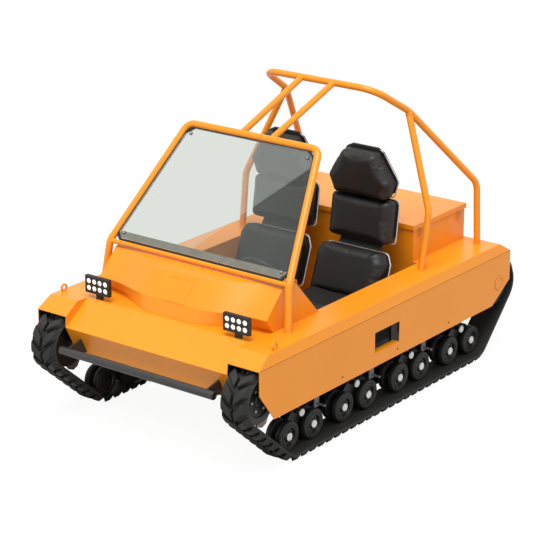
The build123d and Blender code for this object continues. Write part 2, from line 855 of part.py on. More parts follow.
def lug(distance, side):
    """A slanted lug that leans in from its foot to its top, laid out in flat triangles."""
    inner, outer = side * lug_middle_gap / 2, side * track_width / 2
    corners = []
    levels = [(lug_foot, belt - lug_sink, 0), (lug_top, belt + lug_height, lug_end_slope)]
    for length, height, slope in levels:
        for y, shift in [(inner, lug_skew / 2), (outer - side * slope, -lug_skew / 2)]:
            middle = distance + shift
            corners += [loop_point(middle + end * length / 2, height, track_y + y) for end in (-1, 1)]
    triangles = [
        # corner numbers: foot, top, inner end, outer end, front wall, back wall
        (0, 1, 3), (0, 3, 2), (4, 5, 7), (4, 7, 6), (0, 1, 5), (0, 5, 4), (2, 3, 7), (2, 7, 6),
        (0, 2, 6), (0, 6, 4), (1, 3, 7), (1, 7, 5),
    ]
    faces = [Face(Wire.make_polygon([corners[i] for i in triangle], close=True)) for triangle in triangles]
    return Solid(Shell(faces))


def track():
    """The belt with two rows of slanted lugs that meet in a chevron."""
    shape = extrude(loop_face(belt) - loop_face(0), amount=track_width, dir=(0, 1, 0))
    shape = Pos(0, track_y - track_width / 2, 0) * shape
    pitch = sum(piece[0] for piece in loop_pieces()) / lug_count
    places = [first_lug + row * pitch for row in range(lug_count)]
    return shape.fuse(*[lug(place, side) for place in places for side in (-1, 1)])


# Running gear inside a track

def road_wheels():
    """Twin wheels on one axle at each station, with a dished rim and a hub cap on the outer one."""
    outer_back = wheel_outer_y - tyre_width
    inner_face = outer_back - twin_gap
    inner_back = inner_face - tyre_width
    web_y = wheel_outer_y - rim_depth
    discs = [
        # diameter, low y, high y
        (axle, inner_back - hub_proud, outer_back), (road_wheel, inner_back, inner_face),
        (road_wheel, outer_back, wheel_outer_y),
    ]
    wheels = []
    for x in wheel_xs:
        wheel = turned(x, hub_z, discs, wheel_sides)
        wheel -= y_bar(x, hub_z, rim_diameter, web_y, wheel_outer_y, wheel_sides)
        wheels.append(wheel + y_bar(x, hub_z, hub_diameter, web_y, wheel_outer_y + hub_proud))
    return wheels


bogie_pairs = list(zip(wheel_xs[::2], wheel_xs[1::2]))
arm_middle_y = wheel_outer_y - tyre_width - twin_gap / 2


def bogie_arms():
    """A plate between the twin wheels of each pair, hung on its pivot pin."""
    y_low = arm_middle_y - bogie_thickness / 2
    arms = []
    for front, rear in bogie_pairs:
        middle = (front + rear) / 2
        bosses = [(front, hub_z, bogie_hub, axle, wheel_sides), (rear, hub_z, bogie_hub, axle, wheel_sides),
                  (middle, bogie_z, bogie_eye, pivot_pin, small_sides)]
        arm = wrapped_plate([boss[:3] for boss in bosses], y_low, bogie_thickness)
        for x, z, size, hole, sides in bosses:
            high = y_low + bogie_thickness + overrun
            arm -= y_bar(x, z, hole + 2 * seam_gap, y_low - overrun, high, sides)
        arms.append(arm)
    return arms


def suspension_pivots():
    """A hanger plate on the hull wall for each bogie, with its pin and its round cap."""
    pivots = []
    for front, rear in bogie_pairs:
        middle = (front + rear) / 2
        low_z = bogie_z - hanger_width / 2
        plate = block(middle - hanger_width / 2, middle + hanger_width / 2,
                      hull_half, hull_half + hanger_thickness, low_z, hanger_top_z)
        pin = y_bar(middle, bogie_z, pivot_pin, hull_half, wheel_outer_y)
        cap = y_bar(middle, bogie_z, pivot_cap, wheel_outer_y - pivot_cap_thickness, wheel_outer_y)
        pivots.append(plate + pin + cap)
    return pivots + [mirrored(pivot) for pivot in pivots]


def drive_wheel(x, z, diameter):
    """Two dished discs on one hub, for the idler and the sprocket."""
    low, high = track_y - disc_spacing / 2, track_y + disc_spacing / 2
    half = disc_thickness / 2
    discs = [
        # diameter, low y, high y
        (drive_cap, hull_half + carrier_thickness + seam_gap, low), (drive_axle, low, high),
        (diameter, low - half, low + half), (diameter, high - half, high + half),
    ]
    wheel = turned(x, z, discs, drive_sides)
    wheel -= y_bar(x, z, disc_web, high + half - disc_dish, high + half, drive_sides)
    return wheel + y_bar(x, z, drive_cap, high, high + half)


def axle_carrier(x, z):
    """The round plate that carries an idler's or a sprocket's axle on the hull wall."""
    return y_bar(x, z, drive_cap, hull_half, hull_half + carrier_thickness, drive_sides)


def rails():
    """A plate under each inner wall, behind the road wheels."""
    rail = block(rail_rear_x, rail_front_x, inner_half, hull_half, rail_low_z, floor_z - seam_gap)
    return [rail, mirrored(rail)]


def struts():
    """A bent plate under the hull wall between two bogies, with the pin at its low end."""
    y = hull_half + strut_offset
    pieces = []
    for x in strut_xs:
        low_x, high_x = x - strut_width / 2, x + strut_width / 2
        strut = block(low_x, high_x, y, y + strut_thickness, strut_low_z, strut_top_z)
        strut += block(low_x, high_x, hull_half, y, strut_top_z - strut_foot, strut_top_z)
        pieces.append(strut + y_bar(x, strut_pin_z, strut_pin, y, y + strut_pin_length))
    return pieces + [mirrored(piece) for piece in pieces]


def tensioner():
    """A plate between the idler's discs, on a bar from the hull wall, with an eye at its front end."""
    y_low = track_y - tensioner_thickness / 2
    ends = [(tensioner_x, tensioner_z, tensioner_boss), (tensioner_eye_x, tensioner_eye_z, tensioner_eye),
            (tensioner_bar_x, tensioner_bar_z, tensioner_bar)]
    plate = wrapped_plate(ends, y_low, tensioner_thickness)
    plate -= y_bar(tensioner_eye_x, tensioner_eye_z, tensioner_hole, y_low - overrun, y_low + overrun)
    return plate + y_bar(tensioner_bar_x, tensioner_bar_z, tensioner_bar, hull_half, y_low)


def write(name, shape):
    """One STEP file for one node: a solid, or solids that do not touch."""
    if isinstance(shape, list):
        shape = Compound(children=shape)
    solids = shape.solids()
    export_step(solids[0] if len(solids) == 1 else Compound(children=solids), f"parts/{name}.step")


def build():
    os.makedirs("parts", exist_ok=True)
    frame = windshield_frame()
    hoop = roof_hoop()
    bar = bumper()
    wheels = road_wheels()
    arms = bogie_arms()
    idler = drive_wheel(idler_x, idler_z, idler_diameter)
    sprocket = drive_wheel(sprocket_x, sprocket_z, sprocket_diameter)
    carriers = [axle_carrier(idler_x, idler_z), axle_carrier(sprocket_x, sprocket_z)]
    nose, rear, cover = nose_panel(), rear_panel(), bonnet()
    single = {
        "floor_pan": floor_pan(nose, rear), "nose_panel": nose, "rear_panel": rear,
        "bonnet": cover + bonnet_pad(), "dash": dash(cover), "windshield_frame": frame,
        "windshield_glass": windshield_glass(), "windshield_seal": windshield_seal(frame),
        "roof_hoop": hoop, "cage_posts": cage_posts(hoop), "cage_braces": cage_braces(hoop, frame),
        "engine_box": engine_box(), "box_lid": box_lid(), "box_latches": box_latches(),
        "engine_block": engine_block(), "bumper_tube": bar, "bumper_brackets": bumper_brackets(bar),
        "lifting_eyes": lifting_eyes(), "steering_column": column(column_diameter),
        "steering_wheel": steering_wheel(), "suspension_pivots": suspension_pivots(),
        "bogie_arms": arms + [mirrored(arm) for arm in arms],
        "idlers": [idler, mirrored(idler)], "sprockets": [sprocket, mirrored(sprocket)],
        "axle_carriers": carriers + [mirrored(carrier) for carrier in carriers], "struts": struts(),
        "rails": rails(),
    }
    for name, piece in [("inner_walls", inner_wall()), ("fenders", fender()), ("cheeks", cheek()),
                        ("light_bars", light_bar()), ("tensioners", tensioner())]:
        single[name] = [piece, mirrored(piece)]
    for name, shape in single.items():
        write(name, shape)
    paired = {
        "side_panel": side_panel(), "track": track(), "road_wheels": wheels,
        "seat_shell": seat_shell(), "seat_cushion": seat_cushion(),
        "lower_pad": back_pad(lower_plane, lower_pad_outline, pad_edge),
        "mid_pad": back_pad(mid_plane, mid_pad_outline, mid_pad_corner),
        "headrest": back_pad(head_plane, head_pad_outline, head_corner),
    }
    for name, shape in paired.items():
        copies = [mirrored(one) for one in shape] if isinstance(shape, list) else mirrored(shape)
        write(f"{name}_left", shape)
        write(f"{name}_right", copies)


build()
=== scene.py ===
# %% [markdown]
# # A two-seat tracked all-terrain vehicle
#
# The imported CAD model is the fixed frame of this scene. Flat sheet metal is kept as it is and gets
# its paint here. Tracks, wheels, tubes, cushions and lamps are made again as smooth surfaces, worked
# out with numpy in the same frame: +X forward, +Y the vehicle's left, +Z up, in metres.

# %% Load the frame
import bmesh
import bpy
import numpy as np
from mathutils import Matrix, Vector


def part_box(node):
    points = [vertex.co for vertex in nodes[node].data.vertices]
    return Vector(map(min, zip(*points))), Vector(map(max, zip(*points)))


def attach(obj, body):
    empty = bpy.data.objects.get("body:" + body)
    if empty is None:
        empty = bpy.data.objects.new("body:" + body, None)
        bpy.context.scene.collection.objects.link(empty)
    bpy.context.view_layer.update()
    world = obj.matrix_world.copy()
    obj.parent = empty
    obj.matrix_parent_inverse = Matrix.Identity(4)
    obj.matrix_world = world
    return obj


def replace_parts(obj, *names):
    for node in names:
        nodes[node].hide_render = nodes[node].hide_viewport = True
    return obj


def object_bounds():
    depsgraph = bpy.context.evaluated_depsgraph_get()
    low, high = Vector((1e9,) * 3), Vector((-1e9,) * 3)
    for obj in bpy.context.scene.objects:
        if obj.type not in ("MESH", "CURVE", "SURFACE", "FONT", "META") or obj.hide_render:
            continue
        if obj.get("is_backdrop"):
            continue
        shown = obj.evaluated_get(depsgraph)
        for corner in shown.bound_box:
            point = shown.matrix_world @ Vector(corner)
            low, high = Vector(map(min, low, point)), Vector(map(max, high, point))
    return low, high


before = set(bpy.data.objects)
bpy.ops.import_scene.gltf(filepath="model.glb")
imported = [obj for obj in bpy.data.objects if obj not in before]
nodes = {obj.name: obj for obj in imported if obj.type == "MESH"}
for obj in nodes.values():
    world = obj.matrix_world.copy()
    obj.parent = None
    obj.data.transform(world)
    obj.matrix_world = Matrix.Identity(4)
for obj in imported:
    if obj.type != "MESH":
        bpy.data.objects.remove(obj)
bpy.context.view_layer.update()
MM = 0.001
HULL = "hull"

# %% [markdown]
# ## Helpers
#
# A surface is an array of points on a grid of two parameters. Its faces join each point to its
# neighbours, so one function makes the faces of every tube, turned piece and pad.

# %% Colours and nodes
def linear(hex_colour):
    """An sRGB hex colour as linear RGBA: the sRGB curve, undone for each channel."""
    srgb = np.array([int(hex_colour[i:i + 2], 16) for i in (1, 3, 5)]) / 255
    channels = np.where(srgb <= 0.04045, srgb / 12.92, ((srgb + 0.055) / 1.055) ** 2.4)
    return (*channels.tolist(), 1.0)


def add_node(tree, kind, inputs=None, **settings):
    """One node with its settings, and its inputs as values or as links from other nodes' sockets."""
    node = tree.nodes.new(kind)
    for name, value in settings.items():
        setattr(node, name, value)
    for name, value in (inputs or {}).items():
        if isinstance(value, bpy.types.NodeSocket):
            tree.links.new(value, node.inputs[name])
        else:
            node.inputs[name].default_value = value
    return node


def new_material(name):
    """An empty node material and its tree."""
    material = bpy.data.materials.new(name)
    material.use_nodes = True
    material.node_tree.nodes.clear()
    return material, material.node_tree


# %% Surfaces from arrays
def grid_faces(rows, columns, wrap_rows=False, wrap_columns=False):
    """Quads between neighbouring points of a grid, each as four indices, row by row."""
    r = np.arange(rows if wrap_rows else rows - 1)[:, None]
    c = np.arange(columns if wrap_columns else columns - 1)[None, :]
    r2, c2 = (r + 1) % rows, (c + 1) % columns
    quads = np.stack([r * columns + c, r * columns + c2, r2 * columns + c2, r2 * columns + c], axis=-1)
    return quads.reshape(-1, 4)


def make_piece(name, parts, material, body=HULL, crease=35):
    """One object from several (points, faces) surfaces, merged, facing out, and riding on a body."""
    points, faces, start = [], [], 0
    for part_points, part_faces in parts:
        part_points = np.asarray(part_points, float).reshape(-1, 3)
        points.append(part_points)
        faces += [[int(i) + start for i in face] for face in part_faces]
        start += len(part_points)
    mesh = bpy.data.meshes.new(name)
    mesh.from_pydata(np.concatenate(points).tolist(), [], faces)
    build = bmesh.new()
    build.from_mesh(mesh)
    bmesh.ops.remove_doubles(build, verts=build.verts, dist=0.01 * MM)
    bmesh.ops.recalc_face_normals(build, faces=build.faces)
    build.to_mesh(mesh)
    build.free()
    mesh.polygons.foreach_set("use_smooth", np.ones(len(mesh.polygons), bool))
    mesh.set_sharp_from_angle(angle=np.radians(crease))
    mesh.materials.append(material)
    piece = bpy.data.objects.new(name, mesh)
    bpy.context.scene.collection.objects.link(piece)
    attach(piece, body)
    return piece


def mirror_parts(parts):
    """The same surfaces on the other side of the vehicle: Y changes its sign."""
    return [(np.asarray(points, float).reshape(-1, 3) * (1, -1, 1), faces) for points, faces in parts]


def unit(vector):
    """The same direction at length 1, along the last axis of an array."""
    vector = np.asarray(vector, float)
    return vector / np.linalg.norm(vector, axis=-1, keepdims=True)


def turned(profile, centre, axis=(0, 1, 0), steps=40):
    """A turned surface: each profile point (radius, distance along the axis) goes once round the axis."""
    axis = unit(axis)
    side = unit(np.cross(axis, (0.31, 0.17, 0.93)))
    other = np.cross(axis, side)
    turn = np.linspace(0, 2 * np.pi, steps, endpoint=False)[:, None, None]
    radius = np.array(profile, float)[None, :, :1]
    along = np.array(profile, float)[None, :, 1:]
    points = np.asarray(centre) + radius * (np.cos(turn) * side + np.sin(turn) * other) + along * axis
    return points, grid_faces(steps, len(profile), wrap_rows=True).tolist()


def bent_path(corners, radii, steps=10):
    """Points along straight runs joined by arcs: each corner is cut back by radius times tan(half turn)."""
    corners = [np.array(c, float) for c in corners]
    path = [corners[0]]
    for before, corner, after, radius in zip(corners, corners[1:], corners[2:], radii):
        back, ahead = unit(before - corner), unit(after - corner)
        half = np.arccos(np.clip(back @ ahead, -1, 1)) / 2
        centre = corner + unit(back + ahead) * radius / np.sin(half)
        start = corner + back * radius / np.tan(half) - centre
        end = corner + ahead * radius / np.tan(half) - centre
        angle = np.pi - 2 * half
        share = np.linspace(0, 1, steps)[:, None]
        arc = (np.sin((1 - share) * angle) * start + np.sin(share * angle) * end) / np.sin(angle)
        path += list(centre + arc)
    path.append(corners[-1])
    return np.array(path)


def tube(path, radius, steps=28, closed=False, guide=(1, 0.05, 0.02)):
    """A round tube: a circle across the path's direction at each of its points, and flat ends."""
    path = np.asarray(path, float)
    if closed:
        along = unit(np.roll(path, -1, axis=0) - np.roll(path, 1, axis=0))
    else:
        along = unit(np.gradient(path, axis=0))
    side = unit(np.cross(along, guide))
    other = np.cross(along, side)
    turn = np.linspace(0, 2 * np.pi, steps, endpoint=False)
    points = path[:, None] + radius * (np.cos(turn)[None, :, None] * side[:, None]
                                       + np.sin(turn)[None, :, None] * other[:, None])
    faces = grid_faces(len(path), steps, wrap_rows=closed, wrap_columns=True).tolist()
    if not closed:
        last = (len(path) - 1) * steps
        faces += [list(range(steps)), list(range(last, last + steps))]
    return points, faces


def prism(outline, direction):
    """A plate: a flat outline of points and the same outline moved along one direction."""
    outline = np.asarray(outline, float)
    count = len(outline)
    points = np.stack([outline, outline + np.asarray(direction)])
    faces = grid_faces(2, count, wrap_columns=True).tolist()
    return points, faces + [list(range(count)), list(range(count, 2 * count))]


def bevel(piece, width, segments=2, angle=35):
    """Rounds the piece's sharp edges to a real radius."""
    modifier = piece.modifiers.new("edge", "BEVEL")
    modifier.width = width
    modifier.segments = segments
    modifier.limit_method = "ANGLE"
    modifier.angle_limit = np.radians(angle)
    return piece


# %% [markdown]
# ## Paint
#
# The body is steel sheet with a gloss orange powder coat. Powder coat flows out less than wet paint,
# so it keeps a fine orange peel of about 3 mm. The same coat is black where a face points into a
# track bay or down.

# %% Orange powder coat
def orange_coat(name="orange_powder_coat", black_axis=None, black_sign=1):
    """Gloss orange with a slow drift of colour and a 3 mm peel. Where a face points along the given
    axis with the given sign (Y is counted away from the middle), it is black."""
    material, tree = new_material(name)
    place = add_node(tree, "ShaderNodeTexCoord")
    drift = add_node(tree, "ShaderNodeTexNoise",
                     {"Vector": place.outputs["Object"], "Scale": 2.5, "Detail": 3.0})
    colour = add_node(tree, "ShaderNodeMix", {"Factor": drift.outputs["Fac"],
                                              6: linear("#E98C16"), 7: linear("#F0951D")},
                      data_type="RGBA").outputs[2]
    peel = add_node(tree, "ShaderNodeTexNoise",
                    {"Vector": place.outputs["Object"], "Scale": 1 / (3 * MM), "Detail": 1.0})
    bump = add_node(tree, "ShaderNodeBump", {"Height": peel.outputs["Fac"], "Strength": 0.035,
                                             "Distance": 0.4 * MM})
    smear = add_node(tree, "ShaderNodeTexNoise",
                     {"Vector": place.outputs["Object"], "Scale": 9.0, "Detail": 5.0})
    rough = add_node(tree, "ShaderNodeMapRange", {"Value": smear.outputs["Fac"],
                                                  "To Min": 0.26, "To Max": 0.36}).outputs["Result"]
    # Black on faces that point along the given axis with the given sign.
    if black_axis:
        normal = add_node(tree, "ShaderNodeSeparateXYZ",
                          {"Vector": add_node(tree, "ShaderNodeNewGeometry").outputs["True Normal"]})
        facing = normal.outputs[black_axis]
        if black_axis == "Y":
            where = add_node(tree, "ShaderNodeSeparateXYZ", {"Vector": place.outputs["Object"]})
            side = add_node(tree, "ShaderNodeMath", {0: where.outputs["Y"]}, operation="SIGN")
            facing = add_node(tree, "ShaderNodeMath", {0: facing, 1: side.outputs["Value"]},
                              operation="MULTIPLY").outputs["Value"]
        turned_in = add_node(tree, "ShaderNodeMath", {0: facing, 1: float(black_sign)},
                             operation="MULTIPLY")
        black_faced = add_node(tree, "ShaderNodeMath", {0: turned_in.outputs["Value"], 1: 0.5},
                          operation="GREATER_THAN").outputs["Value"]
        colour = add_node(tree, "ShaderNodeMix", {"Factor": black_faced, 6: colour, 7: linear("#161514")},
                          data_type="RGBA").outputs[2]
        rough = add_node(tree, "ShaderNodeMix", {0: black_faced, 2: rough, 3: 0.8}).outputs[0]
    shader = add_node(tree, "ShaderNodeBsdfPrincipled", {
        "Base Color": colour, "Roughness": rough, "IOR": 1.45, "Normal": bump.outputs["Normal"]})
    add_node(tree, "ShaderNodeOutputMaterial", {"Surface": shader.outputs["BSDF"]})
    return material


# %% [markdown]
# ## Rubber, plastic, leather and metal
#
# The other finishes are dark and close to each other in colour, so they differ by roughness and by
# the size of their grain: moulded rubber is matt with a fine grit, satin paint is smooth, leather has
# pebbles of 1.5 mm, and zinc plate is bright with a faint cloud in its roughness.

# %% Finishes with one grain
def grained(name, hex_low, hex_high, roughness, grain_mm, depth_mm, metallic=0.0, pebbled=False):
    """A finish between two close colours, with one grain of a real size in its bump and roughness."""
    material, tree = new_material(name)
    place = add_node(tree, "ShaderNodeTexCoord")
    if pebbled:
        grain = add_node(tree, "ShaderNodeTexVoronoi",
                         {"Vector": place.outputs["Object"], "Scale": 1 / (grain_mm * MM)})
        height = grain.outputs["Distance"]
    else:
        grain = add_node(tree, "ShaderNodeTexNoise",
                         {"Vector": place.outputs["Object"], "Scale": 1 / (grain_mm * MM), "Detail": 4.0})
        height = grain.outputs["Fac"]
    cloud = add_node(tree, "ShaderNodeTexNoise",
                     {"Vector": place.outputs["Object"], "Scale": 14.0, "Detail": 5.0})
    colour = add_node(tree, "ShaderNodeMix", {"Factor": cloud.outputs["Fac"],
                                              6: linear(hex_low), 7: linear(hex_high)},
                      data_type="RGBA")
    rough = add_node(tree, "ShaderNodeMapRange", {"Value": cloud.outputs["Fac"],
                                                  "To Min": roughness - 0.07, "To Max": roughness + 0.07})
    bump = add_node(tree, "ShaderNodeBump", {"Height": height, "Strength": 0.6,
                                             "Distance": depth_mm * MM})
    shader = add_node(tree, "ShaderNodeBsdfPrincipled", {
        "Base Color": colour.outputs[2], "Roughness": rough.outputs["Result"], "Metallic": metallic,
        "Normal": bump.outputs["Normal"]})
    add_node(tree, "ShaderNodeOutputMaterial", {"Surface": shader.outputs["BSDF"]})
    return material


paint = orange_coat()
panel_paint = orange_coat("orange_coat_black_inside", "Y", -1)
bay_paint = orange_coat("orange_coat_black_outside", "Y", 1)
deck_paint = orange_coat("orange_coat_black_below", "Z", -1)
track_rubber = grained("moulded_track_rubber", "#100F0E", "#1E1D1B", 0.70, 2.2, 0.25)
tyre_rubber = grained("solid_tyre_rubber", "#10100F", "#1A1A18", 0.62, 1.6, 0.15)
black_steel = grained("satin_black_painted_steel", "#111111", "#1A1A1A", 0.42, 1.2, 0.03)
bumper_steel = grained("dark_grey_painted_steel", "#2A2927", "#363533", 0.30, 1.2, 0.03)
zinc = grained("white_zinc_plated_steel", "#E4E2DE", "#F4F2EE", 0.38, 0.8, 0.02)
grey_steel = grained("light_grey_painted_steel", "#9A979A", "#AEABAE", 0.45, 1.2, 0.03)
warm_steel = grained("bare_grey_steel_plate", "#7C706A", "#938780", 0.42, 1.4, 0.04, metallic=0.3)
leather = grained("grained_black_leather", "#090806", "#0F0E0B", 0.52, 1.5, 0.12, pebbled=True)
shell_plastic = grained("moulded_dark_abs", "#1A1A18", "#242422", 0.50, 0.9, 0.05)
# Pale grey: the real edge of the seat shells, and a painted highlight along the windscreen pane's edge.
pale_edge_and_highlight = grained("pale_grey_edge_and_painted_highlight", "#B3AFAC", "#C6C2BF", 0.50, 0.9, 0.03)
lamp_plastic = grained("black_die_cast_lamp_body", "#100F0E", "#191816", 0.52, 0.9, 0.06)
seal = grained("extruded_seal_rubber", "#0E0E0E", "#171717", 0.65, 1.0, 0.05)
frit = grained("dark_ceramic_frit", "#5A5B52", "#7D7C70", 0.40, 5.0, 0.0)
# Dark orange of the coat in shade: painted shade for the thin lines in the fold and ring grooves.
seam_shade_paint = grained("painted_shade_in_grooves", "#8C4610", "#A05417", 0.60, 2.0, 0.0)
cast_iron = grained("dull_cast_iron", "#3A3A3C", "#4A4A4C", 0.60, 1.4, 0.2, metallic=0.6)


# %% [markdown]
# ## Glass and lenses
#
# The windscreen is one flat laminated pane. It mirrors a few hundredths of the bright room in front of
# it, which lies as a veil over what is behind. Both of its faces do this, so the veil counts twice.
# Above a straight line across the pane the veil is a painted reflection: there its mirror share is
# raised by place on the pane, not by anything in the room.

# %% Windscreen glass and lamp lenses
def laminated_glass():
    """A thin pane that is mostly clear. Its mirror share is larger above a straight edge,
    z > 1.267 + (y - 0.203) * 0.887: a painted reflection, set by place on the pane, of a bright
    surface in front of the vehicle."""
    material, tree = new_material("laminated_glass")
    place = add_node(tree, "ShaderNodeTexCoord")
    film = add_node(tree, "ShaderNodeTexNoise",
                    {"Vector": place.outputs["Object"], "Scale": 3.0, "Detail": 2.0})
    where = add_node(tree, "ShaderNodeSeparateXYZ", {"Vector": place.outputs["Object"]})
    edge = add_node(tree, "ShaderNodeMath", {0: where.outputs["Y"], 1: 0.887, 2: 1.087},
                    operation="MULTIPLY_ADD")
    above = add_node(tree, "ShaderNodeMath", {0: where.outputs["Z"], 1: edge.outputs["Value"]},
                     operation="SUBTRACT")
    # Painted reflection: above the straight edge the mirror share rises from 0.045 to 0.15.
    bright = add_node(tree, "ShaderNodeMapRange", {
        "Value": above.outputs["Value"], "From Min": -4 * MM, "From Max": 4 * MM,
        "To Min": 0.045, "To Max": 0.15})
    share = add_node(tree, "ShaderNodeMath", {0: film.outputs["Fac"], 1: 0.02,
                                              2: bright.outputs["Result"]},
                     operation="MULTIPLY_ADD")
    clear = add_node(tree, "ShaderNodeBsdfTransparent", {"Color": linear("#ECEEEA")})
    mirror = add_node(tree, "ShaderNodeBsdfAnisotropic", {"Color": linear("#EEF6F4"),
                                                          "Roughness": 0.02})
    mix = add_node(tree, "ShaderNodeMixShader", {"Fac": share.outputs["Value"]})
    tree.links.new(clear.outputs["BSDF"], mix.inputs[1])
    tree.links.new(mirror.outputs["BSDF"], mix.inputs[2])
    add_node(tree, "ShaderNodeOutputMaterial", {"Surface": mix.outputs["Shader"]})
    return material


def led_lens():
    """A white diffusing lens: a bright gloss surface with a weak glow of its own."""
    material, tree = new_material("frosted_lamp_lens")
    place = add_node(tree, "ShaderNodeTexCoord")
    rings = add_node(tree, "ShaderNodeTexNoise",
                     {"Vector": place.outputs["Object"], "Scale": 1 / (6 * MM)})
    colour = add_node(tree, "ShaderNodeMix", {"Factor": rings.outputs["Fac"],
                                              6: linear("#F2F3EA"), 7: linear("#FFFFFA")},
                      data_type="RGBA")
    shader = add_node(tree, "ShaderNodeBsdfPrincipled", {
        "Base Color": colour.outputs[2], "Roughness": 0.18, "Coat Weight": 0.6,
        "Emission Color": linear("#FFFFF4"), "Emission Strength": 0.30})
    add_node(tree, "ShaderNodeOutputMaterial", {"Surface": shader.outputs["BSDF"]})
    return material


glass = laminated_glass()
lens = led_lens()

# %% [markdown]
# ## Finishes on the CAD nodes
#
# Flat sheet pieces keep their CAD shape. Each only needs its finish in its own material slot.

# %% Dress the CAD nodes
finish_of = {
    # node: finish, matched by the start of the node's name
    "floor_pan": paint, "nose_panel": paint, "rear_panel": paint, "inner_wall": bay_paint,
    "fender": deck_paint, "side_panel": panel_paint, "bonnet": paint, "cheek": paint, "dash": paint,
    "windshield_frame": paint, "roof_hoop": paint, "cage_posts": paint, "cage_braces": paint,
    "engine_box": paint, "box_lid": paint, "lifting_eyes": paint, "bumper_tube": bumper_steel,
    "bumper_brackets": bumper_steel, "steering_column": black_steel, "steering_wheel": shell_plastic,
    "bogie_arms": black_steel, "suspension_pivots": black_steel, "idlers": black_steel,
    "sprockets": black_steel, "axle_carriers": black_steel, "struts": grey_steel,
    "tensioners": warm_steel, "rails": black_steel, "box_latches": paint, "track_": track_rubber,
    "road_wheels": tyre_rubber, "windshield_seal": seal, "windshield_glass": glass,
    "light_bar": lamp_plastic, "seat_cushion": leather, "lower_pad": leather, "mid_pad": leather,
    "headrest": leather, "seat_shell": shell_plastic, "engine_block": cast_iron,
}
for node_name, node in nodes.items():
    start = max((key for key in finish_of if node_name.startswith(key)), key=len)
    node.data.materials.clear()
    node.data.materials.append(finish_of[start])
print("dressed", len(nodes), "CAD nodes")

# %% [markdown]
# ## Tubes
#
# The windscreen frame and the cage are bent round tubes. A tube's path is straight runs joined by
# arcs, it starts where its centre line meets the deck, and a weld bead closes it there.

# %% Windscreen frame and roll cage
DECK = 0.714
FRAME_TUBE = 43 * MM
CAGE_TUBE = 41 * MM
CROSS_TUBE = 28 * MM
BRACE_TUBE = 38 * MM
FOOT_BEAD = 3 * MM
JOINT_BEAD = 2.5 * MM
BEAD_RIPPLE = 0.5 * MM
BEADS_ROUND = 17


def both_sides(corners):
    """The corners of one side, then the same on the other side in the opposite order."""
    return corners + [(x, -y, z) for x, y, z in corners[::-1]]


def from_deck(corners):
    """The corners with the first one moved along its run up to the deck."""
    first, second = np.array(corners[0]), np.array(corners[1])
    foot = first + (second - first) * (DECK - first[2]) / (second[2] - first[2])
    return [tuple(foot)] + list(corners[1:])


def weld_ring(centre, axis, radius, bead):
    """A bead round the foot of a tube, a little wavy as weld metal is."""
    centre, axis = np.array(centre, float), unit(axis)
    side = unit(np.cross(axis, (0.31, 0.17, 0.93)))
    turn = np.linspace(0, 2 * np.pi, 48, endpoint=False)[:, None]
    ripple = radius + BEAD_RIPPLE * np.sin(turn * BEADS_ROUND)
    path = centre + ripple * (np.cos(turn) * side + np.sin(turn) * np.cross(axis, side))
    return tube(path, bead, steps=8, closed=True, guide=axis)


frame_side = from_deck([(0.847, -0.670, 0.694), (0.807, -0.646, 0.971), (0.295, -0.469, 1.590)])
frame_path = bent_path(both_sides(frame_side), [0.090, 0.060, 0.060, 0.090])
cross_path = np.linspace((0.807, -0.640, 0.971), (0.807, 0.640, 0.971), 3)
screen = make_piece("windscreen_tubes", [tube(frame_path, FRAME_TUBE / 2), tube(cross_path, CROSS_TUBE / 2)],
                    paint)
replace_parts(screen, "windshield_frame")

hoop_side = from_deck([(-1.076, -0.672, 0.694), (-1.070, -0.660, 1.105), (-0.618, -0.451, 1.618),
                       (-0.330, -0.400, 1.793)])
hoop_path = bent_path(both_sides(hoop_side), [0.110, 0.260, 0.130, 0.130, 0.260, 0.110])
hoop = make_piece("roof_hoop_tube", [tube(hoop_path, CAGE_TUBE / 2)], paint)
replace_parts(hoop, "roof_hoop")

post_side = from_deck([(-0.455, 0.670, 0.694), (-0.510, 0.682, 1.065), (-0.618, 0.451, 1.618)])
post = [tube(bent_path(post_side, [0.160]), CAGE_TUBE / 2)]
posts = make_piece("cage_post_tubes", post + mirror_parts(post), paint)
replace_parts(posts, "cage_posts")

braces = []
for side in (-1, 1):
    run = np.linspace((0.295, side * 0.107 + 0.025, 1.590), (-0.330, side * 0.115, 1.793), 3)
    braces.append(tube(run, BRACE_TUBE / 2))
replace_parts(make_piece("cage_brace_tubes", braces, paint), "cage_braces")

welds = []
for foot, reach in [(frame_side[0], FRAME_TUBE / 2), (post_side[0], CAGE_TUBE / 2),
                    (hoop_side[0], CAGE_TUBE / 2)]:
    for side in (-1, 1):
        welds.append(weld_ring((foot[0], side * abs(foot[1]), DECK + 1.5 * MM), (0, 0, 1),
                               reach + FOOT_BEAD / 2, FOOT_BEAD))
for side in (-1, 1):
    along = unit(np.array(post_side[2]) - np.array(post_side[1]))
    place = np.array(post_side[2]) - along * 24 * MM
    welds.append(weld_ring(place * (1, side, 1), along * (1, side, 1), CAGE_TUBE / 2 + 1 * MM,
                           JOINT_BEAD))
make_piece("tube_welds", welds, paint)
print("weld beads", len(welds))

# %% Bumper
BUMPER_CENTRE = (1.344, 0, 0.479)
BUMPER_HALF = 0.555
BUMPER_RADIUS = 24 * MM
half_rod = [
    # radius, distance from the end of the tube
    (0, 0), (BUMPER_RADIUS - 4 * MM, 0), (BUMPER_RADIUS - 1 * MM, 1 * MM), (BUMPER_RADIUS, 4 * MM),
]
rod_profile = ([(radius, inset - BUMPER_HALF) for radius, inset in half_rod]
               + [(radius, BUMPER_HALF - inset) for radius, inset in half_rod[::-1]])
rod = turned(rod_profile, BUMPER_CENTRE, steps=36)
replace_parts(make_piece("bumper_rod", [rod], bumper_steel), "bumper_tube")

# %% [markdown]
# ## Bonnet
#
# The bonnet is one folded sheet that bows forward in the middle. Across the vehicle each fold follows
# x = edge + (centre - edge) * bow, with bow = (1 + cos(pi * t)) / 2 for t from 0 to 1 along the bend,
# so it is smooth where it meets the flat parts.

